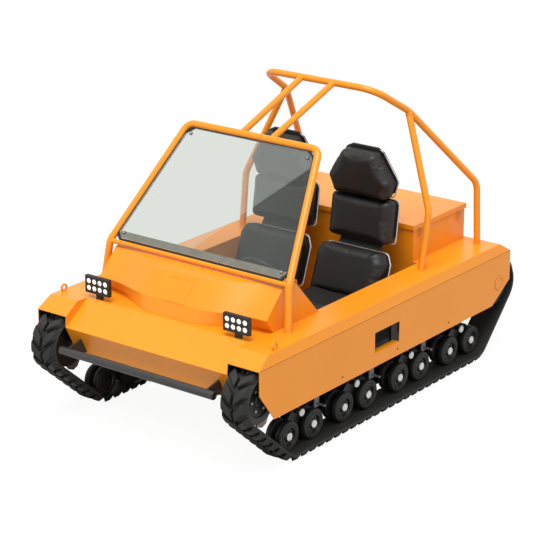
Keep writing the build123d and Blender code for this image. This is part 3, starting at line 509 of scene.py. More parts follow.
# %% Bonnet sheet and its pad
BONNET_HALF = 0.600
SHEET = 4 * MM
BOW_START = 0.2
BOW_LENGTH = 0.75
bonnet_rows = np.array([
    # centre x, edge x, z
    (1.055, 0.895, 0.714), (1.030, 0.952, 0.797), (0.935, 0.805, 0.945), (0.700, 0.700, 0.958),
])


def bonnet_surface():
    """The outer face row by row and back along the inner face, carried across the vehicle."""
    y = np.linspace(-BONNET_HALF, BONNET_HALF, 97)
    t = np.clip((np.abs(y) / BONNET_HALF - BOW_START) / BOW_LENGTH, 0, 1)
    bow = (1 + np.cos(np.pi * t)) / 2
    centre_x, edge_x, z = bonnet_rows.T[:, :, None]
    x = edge_x + (centre_x - edge_x) * bow
    outer = np.stack([x, np.broadcast_to(y, x.shape), np.broadcast_to(z, x.shape)], axis=-1)
    inner = outer[::-1] - np.array([SHEET, 0, SHEET]) * 0.7
    inner[-1, :, 2] = DECK
    points = np.concatenate([outer, inner])
    rows, columns = points.shape[:2]
    faces = grid_faces(rows, columns, wrap_rows=True).tolist()
    ends = [[r * columns for r in range(rows)], [r * columns + columns - 1 for r in range(rows)]]
    return points, faces + ends


def raised_pad():
    """A frame on the middle facet: flat band, rounded shoulders and a recess, as four outlines."""
    low, high = bonnet_rows[1, [0, 2]], bonnet_rows[2, [0, 2]]
    rise = high - low
    length = np.linalg.norm(rise)
    up = np.array([rise[0], 0, rise[1]]) / length
    out = np.array([up[2], 0, -up[0]])
    rings = []
    for inset, height in [(0, 0), (2 * MM, 3 * MM), (32 * MM, 3 * MM), (35 * MM, 0.4 * MM)]:
        low_half, high_half = 0.090 - inset, 0.103 - inset
        top = length - 2 * MM - inset
        flat = np.array([(-low_half, 1 * MM), (low_half, 1 * MM), (high_half, top), (-high_half, top)])
        start = np.array([low[0], 0, low[1]])
        rings.append(start + flat[:, :1] * (0, 1, 0) + flat[:, 1:] * up + height * out)
    points = np.array(rings)
    return points, grid_faces(4, 4, wrap_columns=True).tolist() + [[12, 13, 14, 15]]


cover = make_piece("bonnet_sheet", [bonnet_surface()], paint, crease=10)
bevel(cover, 1.5 * MM, segments=1, angle=10)
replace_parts(cover, "bonnet")
make_piece("bonnet_pad", [raised_pad()], paint, crease=20)

# %% [markdown]
# ## Fold lines
#
# Each side plate stops under the leaning strip over it. Along the joint on the whole side, and in two
# circles round the ring, a thin dark orange tube is painted shade: it stands in for the shadow in the
# narrow groove.

# %% Painted shade along the joint under the leaning strips and round the ring
panel_low, panel_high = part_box("side_panel_left")
FOLD_Z = 0.650
RING_X, RING_Z = -1.141, 0.470
PLATE_Y = 0.800
SHADE_LINE_RADIUS = 1.3 * MM
lines = []
for side in (-1, 1):
    y = side * PLATE_Y
    run = np.linspace((panel_low.x + 2 * MM, y, FOLD_Z), (panel_high.x - 2 * MM, y, FOLD_Z), 3)
    lines.append(tube(run, SHADE_LINE_RADIUS, steps=8, guide=(0, 0, 1)))
for side in (-1, 1):
    for radius in (38 * MM, 47 * MM):
        turn = np.linspace(0, 2 * np.pi, 60, endpoint=False)
        circle = np.stack([RING_X + radius * np.cos(turn), np.full(60, side * PLATE_Y),
                           RING_Z + radius * np.sin(turn)], axis=1)
        lines.append(tube(circle, SHADE_LINE_RADIUS, steps=8, closed=True, guide=(0, 1, 0)))
# Painted shade: dark orange lines where the grooves lie in shadow.
make_piece("fold_shade_lines", lines, seam_shade_paint)
print("fold and ring seams", len(lines))

# %% [markdown]
# ## Windscreen fittings
#
# The pane is held at its corners by four bolts with washers. A dark ceramic band is printed along its
# lower edge, and a painted highlight, a thin pale grey tube, runs along the edge of the pane.

# %% Bolts, band and the painted highlight on the edge of the pane
screen_low, screen_high = np.array(frame_side[1:]) * (1, 0, 1)
half_low, half_high = -np.array(frame_side[1:])[:, 1]
SCREEN_RISE = np.linalg.norm(screen_high - screen_low)
screen_up = unit(screen_high - screen_low)
screen_out = np.array([screen_up[2], 0, -screen_up[0]])


def on_screen(y, up, out=0.0):
    """A point on the pane: across the vehicle, up the pane from its lower tube, and out of it."""
    return screen_low + np.array([0, y, 0]) + screen_up * up + screen_out * out


def screen_half(up, inset):
    """Half the width of the opening at a height, moved in from the tubes' centre lines."""
    lean_in = (half_low - half_high) / SCREEN_RISE
    return half_low - lean_in * up - inset / np.cos(np.arctan(lean_in))


PANE_INSET = 27 * MM
BOLT_INSET = 36 * MM
pane_low, pane_high = PANE_INSET, SCREEN_RISE - PANE_INSET
bolts, washers = [], []
for up in (pane_low + BOLT_INSET, pane_high - BOLT_INSET):
    for side in (-1, 1):
        place = on_screen(side * (screen_half(up, PANE_INSET) - BOLT_INSET), up, 3 * MM)
        washers.append(turned([(0, 0), (11 * MM, 0), (11 * MM, 1.5 * MM), (10 * MM, 2.2 * MM),
                               (0, 2.2 * MM)], place, axis=screen_out, steps=28))
        bolts.append(turned([(0, 2 * MM), (6.5 * MM, 2 * MM), (6.5 * MM, 5 * MM), (4 * MM, 7.5 * MM),
                             (0, 8 * MM)], place, axis=screen_out, steps=20))
make_piece("screen_washers", washers, seal)
make_piece("screen_bolts", bolts, grey_steel)
band_low, band_high = pane_low + 4 * MM, pane_low + 44 * MM
band_corners = []
for up, side in [(band_low, -1), (band_low, 1), (band_high, 1), (band_high, -1)]:
    band_corners.append(on_screen(side * screen_half(up, 31 * MM), up, 3.1 * MM))
band = prism(band_corners, screen_out * 0.3 * MM)
make_piece("screen_band", [band], frit)
pane_corners = []
for up, side in [(pane_low, -1), (pane_low, 1), (pane_high, 1), (pane_high, -1)]:
    pane_corners.append(on_screen(side * screen_half(up, PANE_INSET), up, 2 * MM))
pane_corners = np.array(pane_corners)
pane_loop = bent_path(np.concatenate([pane_corners[-1:], pane_corners, pane_corners[:1]]),
                      [0.040] * 4, 8)[1:-1]
# Painted highlight: a pale grey tube round the pane stands in for light caught by the glass edge.
make_piece("pane_edge_highlight", [tube(pane_loop, 1.6 * MM, steps=8, closed=True, guide=screen_out)], pale_edge_and_highlight)

# %% [markdown]
# ## Steering
#
# The wheel is a round rim on three flat spokes. It rides on the steering body, in the plane that leans
# back 35 degrees.

# %% Steering wheel and column
LEAN_BACK = np.radians(35)
wheel_centre = np.array([0.575, 0.290, 0.890])
wheel_axis = np.array([-np.cos(LEAN_BACK), 0, np.sin(LEAN_BACK)])
wheel_up = np.array([-np.sin(LEAN_BACK), 0, -np.cos(LEAN_BACK)])
turn = np.linspace(0, 2 * np.pi, 72, endpoint=False)[:, None]
rim_path = wheel_centre + 0.137 * (np.cos(turn) * (0, 1, 0) + np.sin(turn) * wheel_up)
spokes = []
for angle in np.radians([0, 120, 240]):
    along = np.cos(angle) * np.array([0, 1, 0]) + np.sin(angle) * wheel_up
    across_spoke = np.cross(wheel_axis, along)
    outline = [wheel_centre + along * a + across_spoke * b - wheel_axis * 4 * MM
               for a, b in [(0.02, -0.015), (0.135, -0.010), (0.135, 0.010), (0.02, 0.015)]]
    spokes.append(prism(outline, wheel_axis * 8 * MM))
hub = turned([(0, -0.015), (0.033, -0.015), (0.035, -0.012), (0.035, 0.009), (0.030, 0.014),
              (0, 0.015)], wheel_centre, axis=wheel_axis, steps=36)
steering = make_piece("steering_wheel_rim", [tube(rim_path, 13 * MM, steps=20, closed=True,
                                                  guide=wheel_axis), hub] + spokes,
                      shell_plastic, body="steering")
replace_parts(steering, "steering_wheel")
top = wheel_centre - wheel_axis * 15.3 * MM
shaft = make_piece("column_jacket", [tube([top, top - wheel_axis * 0.115, top - wheel_axis * 0.230],
                                          19 * MM)], black_steel)
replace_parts(shaft, "steering_column")

# %% [markdown]
# ## Tracks
#
# A rubber track is a belt with moulded lugs. The side view of the belt is a loop round four circles,
# so a point on it is given by a distance along the loop and a height over the belt's inner face. Each
# lug is a block in those two numbers, slanted so that a left and a right lug make a chevron.

# %% The loop of a track
idler_low, idler_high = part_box("idlers")
sprocket_low, sprocket_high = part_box("sprockets")
wheels_low, wheels_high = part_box("road_wheels_left")
track_low, track_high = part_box("track_left")
SEAM = 0.3 * MM
BELT = 15 * MM
LUG = 27 * MM
wheel_radius = (wheels_high.z - wheels_low.z) / 2
idler_radius = (idler_high.z - idler_low.z) / 2
sprocket_radius = (sprocket_high.z - sprocket_low.z) / 2
circles = np.array([
    # x, z, radius of the belt's inner face
    (idler_high.x - idler_radius, idler_high.z - idler_radius, idler_radius + SEAM),
    (wheels_high.x - wheel_radius, wheels_high.z - wheel_radius, wheel_radius + SEAM),
    (wheels_low.x + wheel_radius, wheels_high.z - wheel_radius, wheel_radius + SEAM),
    (sprocket_low.x + sprocket_radius, sprocket_high.z - sprocket_radius, sprocket_radius + SEAM),
])


def loop_table():
    """Start angle, start distance and length of each straight run and each arc, going clockwise."""
    following = np.roll(circles, -1, axis=0)
    step = following[:, :2] - circles[:, :2]
    reach = np.linalg.norm(step, axis=1)
    out = np.arctan2(step[:, 1], step[:, 0]) + np.arccos((circles[:, 2] - following[:, 2]) / reach)
    run = np.sqrt(reach ** 2 - (circles[:, 2] - following[:, 2]) ** 2)
    turn = (out - np.roll(out, -1)) % (2 * np.pi)
    lengths = np.stack([run, turn * following[:, 2]], axis=1).ravel()
    starts = np.concatenate([[0], np.cumsum(lengths)[:-1]])
    return out, starts, lengths


run_angle, starts, lengths = loop_table()
LOOP = lengths.sum()


def on_loop(distance, height):
    """X and Z at a distance along the loop and a height over the belt's inner face, as arrays."""
    distance, height = np.broadcast_arrays(np.asarray(distance, float) % LOOP, height)
    piece = np.searchsorted(starts, distance, side="right") - 1
    side, is_arc = piece // 2, piece % 2 == 1
    gone = distance - starts[piece]
    next_side = (side + 1) % len(circles)
    centre = circles[np.where(is_arc, next_side, side)]
    angle = run_angle[side] - np.where(is_arc, gone / centre[..., 2], 0)
    normal = np.stack([np.cos(angle), np.sin(angle)], axis=-1)
    along = np.stack([np.sin(angle), -np.cos(angle)], axis=-1)
    ahead = np.where(is_arc, 0, gone)[..., None]
    return centre[..., :2] + normal * (centre[..., 2] + height)[..., None] + along * ahead


print("track loop", round(LOOP, 3), "m")

# %% [markdown]
# The lug's foot is longer than its top, so its walls lean as a moulded block's do to leave the mould.
# Its outer end leans in too.

# %% Belts and chevron lugs
LUG_ROWS = 75
FIRST_LUG = 58 * MM
LUG_FOOT = 54 * MM
LUG_TOP = 44 * MM
LUG_SKEW = 50 * MM
LUG_INNER = 10 * MM
LUG_SINK = 3 * MM
LUG_END_SLOPE = 22 * MM
track_y = (track_low.y + track_high.y) / 2
track_half = (track_high.y - track_low.y) / 2


def belt_surface():
    """The belt's section, a flat strip with rounded edges, carried once round the loop."""
    edge = 5 * MM
    section = np.array([
        # distance across from the middle, height over the inner face
        (-track_half + edge, 0), (track_half - edge, 0), (track_half, edge), (track_half, BELT - edge),
        (track_half - edge, BELT), (-track_half + edge, BELT), (-track_half, BELT - edge),
        (-track_half, edge),
    ])
    distance = np.linspace(0, LOOP, 420, endpoint=False)
    side_view = on_loop(distance[:, None], section[None, :, 1])
    points = np.stack([side_view[..., 0], np.broadcast_to(track_y + section[:, 0], side_view.shape[:2]),
                       side_view[..., 1]], axis=-1)
    return points, grid_faces(len(distance), len(section), wrap_rows=True, wrap_columns=True).tolist()


def lug_surfaces():
    """Each lug is a small grid: along the loop by across, on its top, closed down to its foot."""
    row = (FIRST_LUG + np.arange(LUG_ROWS) * LOOP / LUG_ROWS)[:, None, None]
    shape = np.array([
        # share of the half length, 0 at the foot and 1 at the top
        (-1, 0), (-1, 1), (0, 1), (1, 1), (1, 0),
    ])
    half = np.where(shape[:, 1] > 0, LUG_TOP, LUG_FOOT)[None, :, None] / 2
    level = np.where(shape[:, 1] > 0, BELT + LUG, BELT - LUG_SINK)[None, :, None]
    reach = np.where(shape[:, 1] > 0, track_half - LUG_END_SLOPE, track_half - 1.5 * MM)[None, :, None]
    share = np.linspace(0, 1, 4)[None, None, :]
    surfaces = []
    for side in (-1, 1):
        offset = row + half * shape[:, 0][None, :, None] + LUG_SKEW * (0.5 - share)
        side_view = on_loop(offset, np.broadcast_to(level, offset.shape))
        across_track = LUG_INNER + (reach - LUG_INNER) * share
        y = np.broadcast_to(track_y + side * across_track, offset.shape)
        points = np.stack([side_view[..., 0], y, side_view[..., 1]], axis=-1)
        wide = points.shape[2]
        block = points.shape[1] * wide
        quads = grid_faces(points.shape[1], wide)
        ends = np.array([[k * wide for k in range(5)], [k * wide + wide - 1 for k in range(5)]])
        bottom = np.array([list(range(wide)) + list(range(5 * wide - 1, 4 * wide - 1, -1))])
        faces = []
        for k in range(LUG_ROWS):
            for group in (quads, ends, bottom):
                faces += (group + k * block).tolist()
        surfaces.append((points, faces))
    return surfaces


left_track = [belt_surface()] + lug_surfaces()
for name, surfaces in [("left", left_track), ("right", mirror_parts(left_track))]:
    tread = make_piece(f"rubber_track_{name}", surfaces, track_rubber)
    bevel(tread, 2.5 * MM, segments=1, angle=50)
    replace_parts(tread, f"track_{name}")
print("lug rows", LUG_ROWS, "pitch", round(LOOP / LUG_ROWS / MM, 1), "mm")

# %% [markdown]
# ## Road wheels
#
# Each axle carries twin wheels: a solid rubber tyre on a dished rim, with a ring of round holes and a
# bright hub cap. All of it is turned, so a profile of radius and width goes once round the axle.

# %% Road wheels, hub caps and pivot caps
TYRE_WIDTH = 40 * MM
TWIN_GAP = 26 * MM
RIM = 58 * MM
WEB_INSET = 14 * MM
HUB = 24 * MM
tyre_edge = 6 * MM
wheel_face = wheels_high.y - 4 * MM
wheel_xs = [0.899, 0.670, 0.376, 0.139, -0.185, -0.411, -0.725, -0.963]
wheel_z = wheels_high.z - wheel_radius


def tyre_profile(outer, inner):
    """A tyre's section: flat tread, rounded shoulders, and a groove round each side near the rim."""
    r = wheel_radius
    return [(RIM, inner), (RIM + 5 * MM, inner), (RIM + 7 * MM, inner + 2.5 * MM),
            (RIM + 10 * MM, inner + 2.5 * MM), (RIM + 12 * MM, inner + 0.5 * MM),
            (r - tyre_edge, inner + 1 * MM), (r - 2 * MM, inner + 3 * MM), (r, inner + tyre_edge),
            (r, outer - tyre_edge), (r - 2 * MM, outer - 3 * MM), (r - tyre_edge, outer - 1 * MM),
            (RIM + 12 * MM, outer - 0.5 * MM), (RIM + 10 * MM, outer - 2.5 * MM),
            (RIM + 7 * MM, outer - 2.5 * MM), (RIM + 5 * MM, outer), (RIM, outer), (RIM, inner)]


def rim_profile(outer, inner):
    """A dished rim: a flange under the tyre, a sloping dish and a flat web with the hub on it."""
    web = outer - WEB_INSET
    return [(0, inner + 6 * MM), (RIM - 8 * MM, inner + 6 * MM), (RIM, inner), (RIM, outer - 1 * MM),
            (RIM - 4 * MM, outer - 1 * MM), (RIM - 9 * MM, web), (HUB + 9 * MM, web),
            (HUB + 4 * MM, web + 4 * MM), (HUB, outer - 2 * MM), (0, outer - 2 * MM)]


def cap_profile(radius, root, proud):
    """A pressed cap: a short wall, a rounded edge, a flat face and a small raised centre."""
    return [(0, root), (radius, root), (radius, root + proud - 3 * MM), (radius - 3 * MM, root + proud),
            (radius * 0.5, root + proud), (radius * 0.44, root + proud - 1.2 * MM),
            (radius * 0.38, root + proud), (0, root + proud)]


def plain_disc(radius, low, high):
    """A disc or a bar with flat ends."""
    return [(0, low), (radius, low), (radius, high), (0, high)]


tyres, rims, caps, holes = [], [], [], []
for x in wheel_xs:
    centre = (x, 0, wheel_z)
    for outer in (wheel_face, wheel_face - TYRE_WIDTH - TWIN_GAP):
        tyres.append(turned(tyre_profile(outer, outer - TYRE_WIDTH), centre, steps=56))
        rims.append(turned(rim_profile(outer, outer - TYRE_WIDTH), centre))
    rims.append(turned(plain_disc(13 * MM, wheel_face - 110 * MM, wheel_face - 20 * MM), centre, steps=20))
    caps.append(turned(cap_profile(HUB - 1 * MM, wheel_face - 3 * MM, 7 * MM), centre))
    for turn in np.arange(6) * np.pi / 3 + 0.3:
        hole = (x + 41 * MM * np.cos(turn), 0, wheel_z + 41 * MM * np.sin(turn))
        rings = [(7 * MM, wheel_face - WEB_INSET - 1 * MM), (7 * MM, wheel_face - WEB_INSET + 1.5 * MM),
                 (5 * MM, wheel_face - WEB_INSET + 2 * MM), (0, wheel_face - WEB_INSET + 2 * MM)]
        holes.append(turned(rings, hole, steps=14))

for name, flip in [("left", list), ("right", mirror_parts)]:
    tyre = make_piece(f"road_tyres_{name}", flip(tyres), tyre_rubber)
    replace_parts(tyre, f"road_wheels_{name}")
    make_piece(f"road_rims_{name}", flip(rims), black_steel)
    make_piece(f"rim_bolts_{name}", flip(holes), black_steel)
    make_piece(f"hub_caps_{name}", flip(caps), zinc)
print("road wheels", 2 * len(wheel_xs))

# %% Caps on the bogie pivots
PIVOT_Z = 0.238
pivots = []
for front, rear in zip(wheel_xs[::2], wheel_xs[1::2]):
    middle = ((front + rear) / 2, 0, PIVOT_Z)
    pivots.append(turned(cap_profile(22 * MM, wheel_face - 4 * MM, 8 * MM), middle))
make_piece("pivot_caps_left", pivots, zinc)
make_piece("pivot_caps_right", mirror_parts(pivots), zinc)

# %% Idlers and sprockets
discs = []
for (x, z, reach), name in zip(circles[[0, 3]], ("idlers", "sprockets")):
    reach -= SEAM
    low, high, half = track_y - 48 * MM, track_y + 48 * MM, 11 * MM
    round_edge = 4 * MM
    disc_pair = []
    for y in (low, high):
        web = y + half - 6 * MM
        disc_pair.append(turned([
            (0, y - half), (reach - round_edge, y - half), (reach, y - half + round_edge),
            (reach, y + half - round_edge), (reach - round_edge, y + half), (0.100, y + half),
            (0.096, web + 2 * MM), (0.090, web), (0.036, web), (0.030, y + half), (0, y + half),
        ], (x, 0, z), steps=72))
    disc_pair.append(turned(plain_disc(22 * MM, low, high), (x, 0, z), steps=32))
    disc_pair.append(turned(plain_disc(30 * MM, 0.5987, low), (x, 0, z), steps=32))
    piece = make_piece(f"{name}_discs", disc_pair + mirror_parts(disc_pair), black_steel)
    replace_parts(piece, name)
    studs = []
    for turn in np.arange(6) * np.pi / 3:
        place = (x + 0.066 * np.cos(turn), 0, z + 0.066 * np.sin(turn))
        web = high + half - 6 * MM
        studs.append(turned([(0, web - 1 * MM), (8 * MM, web - 1 * MM), (8 * MM, web + 4 * MM),
                             (6 * MM, web + 5 * MM), (0, web + 5 * MM)], place, steps=6))
    make_piece(f"{name}_bolts", studs + mirror_parts(studs), grey_steel)
print("idlers and sprockets", 4)

# %% [markdown]
# ## Lamps and box latches
#
# Each lamp bar holds two rows of four round lenses. The lens is a shallow dome in a ring. A latch is
# a spring clip: a plate on the box, a bent lever on it and a hook on the lid.

# %% Lamp lenses
LED_PITCH = 41 * MM
LED_RADIUS = 15.5 * MM
lamp_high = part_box("light_bars")[1]
lamp_y = 0.502
lamp_z = lamp_high.z - 51 * MM
lenses, bezels = [], []
for y in (np.arange(4) - 1.5) * LED_PITCH + lamp_y:
    for z in (np.arange(2) - 0.5) * LED_PITCH + lamp_z:
        dome = [(0, -3 * MM), (LED_RADIUS, -3 * MM), (LED_RADIUS, -1 * MM), (LED_RADIUS * 0.8, 0.6 * MM),
                (LED_RADIUS * 0.4, 1.6 * MM), (0, 2 * MM)]
        ring = [(LED_RADIUS, -3 * MM), (LED_RADIUS + 2.5 * MM, -3 * MM), (LED_RADIUS + 2.5 * MM, 1 * MM),
                (LED_RADIUS + 1 * MM, 1.5 * MM), (LED_RADIUS, -3 * MM)]
        lenses.append(turned(dome, (lamp_high.x, y, z), axis=(1, 0, 0), steps=32))
        bezels.append(turned(ring, (lamp_high.x, y, z), axis=(1, 0, 0), steps=32))
make_piece("lamp_lenses", lenses + mirror_parts(lenses), lens)
make_piece("lamp_rings", bezels + mirror_parts(bezels), lamp_plastic)

# %% Latches of the engine box
levers, clips = [], []
latch_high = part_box("box_latches")[1]
for x in (-0.623, -1.045):
    y = latch_high.y
    levers.append(prism([(x - 9 * MM, y, 0.858), (x + 9 * MM, y, 0.858), (x + 9 * MM, y, 0.895),
                         (x - 9 * MM, y, 0.895)], (0, 2.5 * MM, 0)))
    wire = bent_path([(x - 10 * MM, y + 2 * MM, 0.868), (x - 10 * MM, y + 3 * MM, 0.903),
                      (x + 10 * MM, y + 3 * MM, 0.903), (x + 10 * MM, y + 2 * MM, 0.868)],
                     [5 * MM, 5 * MM], 6)
    clips.append(tube(wire, 1.8 * MM, steps=8, guide=(0, 1, 0)))
make_piece("latch_levers", levers, paint)
make_piece("latch_wires", clips, warm_steel)
print("lenses", 2 * len(lenses), "latches", len(levers))

# %% [markdown]
# ## Cushions
#
# A seat pad is foam pulled into a leather cover: its face is crowned, its edges are round, and its
# sides pull in a little between the corners. Each pad starts as an outline that shrinks over a dome,
# is voxel remeshed, and is then blown up a little by the cloth solver, which rounds it as foam would.

# %% Pad shapes
SEAT_Y = 0.292
PAD_DEPTH = 0.098


def rounded_outline(half_points, corner, steps=7):
    """A closed outline, symmetric about its middle, each corner rounded with the same radius."""
    right = np.array(half_points, float)
    corners = np.concatenate([right, right[::-1] * (-1, 1)])
    flat = np.concatenate([corners, np.zeros((len(corners), 1))], axis=1)
    closed = np.concatenate([flat[-1:], flat, flat[:1]])
    path = bent_path(closed, [corner] * len(flat), steps)
    return path[1:-1, :2]


def pad_surface(outline, depth, centre_share=0.5, rings=14):
    """Rings of the outline shrunk to its middle: height is depth times (1 - share^12)^(1/3)."""
    low, high = outline.min(axis=0), outline.max(axis=0)
    middle = low + (high - low) * (0.5, centre_share)
    share = 1 - np.linspace(0, 1, rings) ** 1.6
    height = depth * (1 - share ** 12) ** (1 / 3)
    grow = np.concatenate([share[::-1][:-1], share])
    level = np.concatenate([np.zeros(rings - 1), height])
    points = middle + (outline - middle)[None] * grow[:, None, None]
    surface = np.concatenate([points, np.broadcast_to(level[:, None, None], (*points.shape[:2], 1))], axis=2)
    return surface, grid_faces(len(grow), len(outline), wrap_columns=True).tolist()


def on_plane(surface, x, z, lean_degrees, lift=0.0):
    """From a pad's own leaning plane (across, up, out) into the row frame."""
    points, faces = surface
    lean = np.radians(lean_degrees)
    up = np.array([-np.sin(lean), 0, np.cos(lean)])
    out = np.array([np.cos(lean), 0, np.sin(lean)])
    placed = (np.array([x, SEAT_Y, z]) + points[..., :1] * np.array([0, 1.0, 0])
              + points[..., 1:2] * up + (points[..., 2:] + lift) * out)
    return placed, faces


back_pads = {
    # name: (half outline, corner radius, where the crown is, origin x, origin z, lean in degrees)
    "lower_pad": ([(0.242, -0.020), (0.242, 0.232), (0.210, 0.294)], 0.028, 0.5, -0.249, 0.533, 20),
    "mid_pad": ([(0.218, -0.026), (0.218, 0.240)], 0.026, 0.5, -0.415, 0.876, 8),
    "headrest": ([(0.190, -0.014), (0.228, 0.0935), (0.116, 0.268)], 0.026, 0.42, -0.430, 1.146, -5.5),
}
pads = {}
for name, (half_points, corner, crown, x, z, lean_degrees) in back_pads.items():
    outline = rounded_outline(half_points, corner)
    pads[name] = on_plane(pad_surface(outline, PAD_DEPTH, crown), x, z, lean_degrees, 1 * MM)
cushion_low, cushion_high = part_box("seat_cushion_left")


def cushion_surface():
    """The seat's cushion: the same dome over a rounded rectangle, laid flat on the seat pan."""
    half = (cushion_high.y - cushion_low.y) / 2 - 6 * MM
    length = cushion_high.x - cushion_low.x - 12 * MM
    points, faces = pad_surface(rounded_outline([(half, 0), (half, length)], 0.045), 0.122)
    start = np.array([cushion_low.x + 6 * MM, SEAT_Y, cushion_low.z + 0.5 * MM])
    placed = (start + points[..., :1] * (0, 1, 0) + points[..., 1:2] * (1, 0, 0)
              + points[..., 2:] * (0, 0, 1))
    return placed, faces


pads["seat_cushion"] = cushion_surface()

# %% Foam pushed into its cover by the cloth solver
VOXEL = 6 * MM
LIMIT = 6 * MM


def inflate(piece):
    """Remesh, blow the cover up with a little pressure, and cap how far each point may move."""
    remesh = piece.modifiers.new("skin", "REMESH")
    remesh.mode = "VOXEL"
    remesh.voxel_size = VOXEL
    bpy.context.view_layer.objects.active = piece
    piece.select_set(True)
    bpy.ops.object.modifier_apply(modifier="skin")
    count = len(piece.data.vertices)
    before = np.empty(count * 3)
    piece.data.vertices.foreach_get("co", before)
    cloth = piece.modifiers.new("foam", "CLOTH")
    cloth.settings.use_pressure = True
    cloth.settings.uniform_pressure_force = 4
    cloth.settings.effector_weights.gravity = 0
    cloth.settings.quality = 4
    cloth.point_cache.frame_end = 16
    scene = bpy.context.scene
    for step in range(1, 17):
        scene.frame_set(step)
    evaluated = piece.evaluated_get(bpy.context.evaluated_depsgraph_get())
    after = np.empty(count * 3)
    evaluated.data.vertices.foreach_get("co", after)
    piece.modifiers.remove(cloth)
    move = (after - before).reshape(-1, 3)
    size = np.linalg.norm(move, axis=1, keepdims=True)
    move *= np.minimum(1, LIMIT / np.maximum(size, 1e-9))
    piece.data.vertices.foreach_set("co", (before.reshape(-1, 3) + move).ravel())
    piece.data.update()
    piece.select_set(False)
    scene.frame_set(1)


def finish_pad(piece):
    smooth = piece.modifiers.new("relax", "SMOOTH")
    smooth.factor = 0.5
    smooth.iterations = 3
    piece.data.polygons.foreach_set("use_smooth", np.ones(len(piece.data.polygons), bool))


for name, surface in pads.items():
    left = make_piece(f"{name}_cover_left", [surface], leather, crease=180)
    inflate(left)
    count = len(left.data.vertices)
    points = np.empty(count * 3)
    left.data.vertices.foreach_get("co", points)
    faces = [list(polygon.vertices) for polygon in left.data.polygons]
    right = make_piece(f"{name}_cover_right", mirror_parts([(points, faces)]), leather,
                       crease=180)
    for piece, side in [(left, "left"), (right, "right")]:
        finish_pad(piece)
        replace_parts(piece, f"{name}_{side}")
print("pads", len(pads) * 2)

# %% [markdown]
# The shells have a pale edge, which shows as a light line round each pad from the side.

# %% Pale edge of the seat shells
edges = []
for half_points, corner, crown, x, z, lean_degrees in back_pads.values():
    outline = rounded_outline(np.array(half_points) + (4 * MM, 0), corner)
    flat = np.concatenate([outline, np.full((len(outline), 1), -5 * MM)], axis=1)
    path = on_plane((flat, None), x, z, lean_degrees)[0]
    edges.append(tube(path, 4.5 * MM, steps=10, closed=True))
make_piece("shell_edges", edges + mirror_parts(edges), pale_edge_and_highlight)

# %% [markdown]
# ## Floor, light and camera
#
# A studio photograph on white: a white floor that keeps only a faint shadow, one very soft key light
# from above and in front, and a white room that the gloss paint reflects.

# %% Floor and room
floor_mesh = bpy.data.meshes.new("studio_floor")
FLOOR_HALF = 60.0
floor_corners = [(FLOOR_HALF * x, FLOOR_HALF * y, 0) for x, y in [(-1, -1), (1, -1), (1, 1), (-1, 1)]]
floor_mesh.from_pydata(floor_corners, [], [(0, 1, 2, 3)])
floor = bpy.data.objects.new("studio_floor", floor_mesh)
bpy.context.scene.collection.objects.link(floor)
floor_paper, tree = new_material("pale_studio_paper")
paper = add_node(tree, "ShaderNodeBsdfDiffuse", {"Color": linear("#C6C6C6")})
glow = add_node(tree, "ShaderNodeEmission", {"Color": (1, 1, 1, 1), "Strength": 1.05})
path_kind = add_node(tree, "ShaderNodeLightPath")
share = add_node(tree, "ShaderNodeMath", {0: path_kind.outputs["Is Camera Ray"], 1: 0.90},
                 operation="MULTIPLY")
blend = add_node(tree, "ShaderNodeMixShader", {"Fac": share.outputs["Value"]})
tree.links.new(paper.outputs["BSDF"], blend.inputs[1])
tree.links.new(glow.outputs["Emission"], blend.inputs[2])
add_node(tree, "ShaderNodeOutputMaterial", {"Surface": blend.outputs["Shader"]})
floor.data.materials.append(floor_paper)
floor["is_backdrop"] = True

world = bpy.data.worlds.new("white_room")
world.use_nodes = True
bpy.context.scene.world = world
tree = world.node_tree
tree.nodes.clear()
path_kind = add_node(tree, "ShaderNodeLightPath")
seen = add_node(tree, "ShaderNodeMath", {0: path_kind.outputs["Is Camera Ray"],
                                         1: path_kind.outputs["Is Glossy Ray"]}, operation="MAXIMUM")
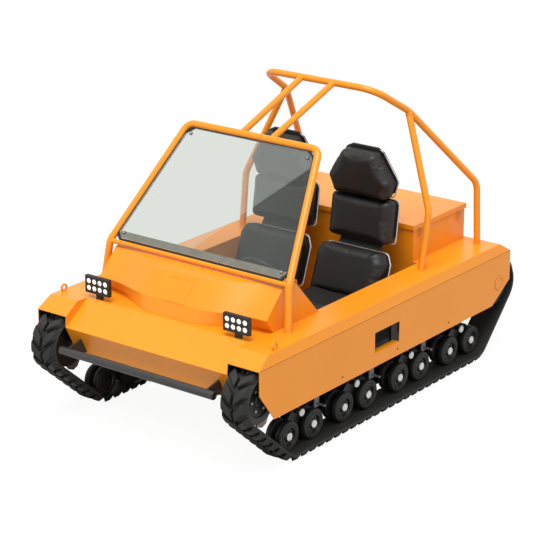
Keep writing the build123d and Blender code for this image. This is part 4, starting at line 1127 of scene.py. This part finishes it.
seen_too = add_node(tree, "ShaderNodeMath", {0: seen.outputs["Value"],
                                             1: path_kind.outputs["Is Transmission Ray"]},
                    operation="MAXIMUM")
strength = add_node(tree, "ShaderNodeMapRange", {"Value": seen_too.outputs["Value"],
                                                 "To Min": 0.55, "To Max": 1.0})
background = add_node(tree, "ShaderNodeBackground", {"Color": (1, 1, 1, 1),
                                                     "Strength": strength.outputs["Result"]})
add_node(tree, "ShaderNodeOutputWorld", {"Surface": background.outputs["Background"]})

# %% Key light
def placed_looking(place, right, back):
    """The matrix of a light or camera at a place, from its own right and backward directions."""
    turn = np.stack([right, np.cross(back, right), back], axis=1)
    return Matrix.Translation(place) @ Matrix(turn.tolist()).to_4x4()


KEY_FROM = (0.34, 0.18, 0.92)
key_data = bpy.data.lights.new("soft_key", "SUN")
key_data.angle = np.radians(38)
key_data.energy = 3.3
key = bpy.data.objects.new("soft_key", key_data)
bpy.context.scene.collection.objects.link(key)
back = unit(KEY_FROM)
right = unit(np.cross((0, 1, 0), back))
key.matrix_world = placed_looking((2, 0.5, 5), right, back)

# %% Camera
AZIMUTH, ELEVATION = np.radians([127.3825, 19.4095])
CAMERA_PLACE = (9.3276, 7.0619, 4.7910)
FOCAL_PIXELS, FRAME_PIXELS = 2088.85, 550
SENSOR = 36.0
camera_data = bpy.data.cameras.new("studio_camera")
camera_data.sensor_width = SENSOR
camera_data.lens = FOCAL_PIXELS / FRAME_PIXELS * SENSOR
camera = bpy.data.objects.new("studio_camera", camera_data)
bpy.context.scene.collection.objects.link(camera)
back = np.array([np.sin(AZIMUTH) * np.cos(ELEVATION), -np.cos(AZIMUTH) * np.cos(ELEVATION),
                 np.sin(ELEVATION)])
right = np.array([np.cos(AZIMUTH), np.sin(AZIMUTH), 0])
camera.matrix_world = placed_looking(CAMERA_PLACE, right, back)
bpy.context.scene.camera = camera
bpy.context.scene.view_settings.view_transform = "Standard"

# %% Sizes and finish
low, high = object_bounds()
print("visual box", [round(v, 3) for v in low], [round(v, 3) for v in high])
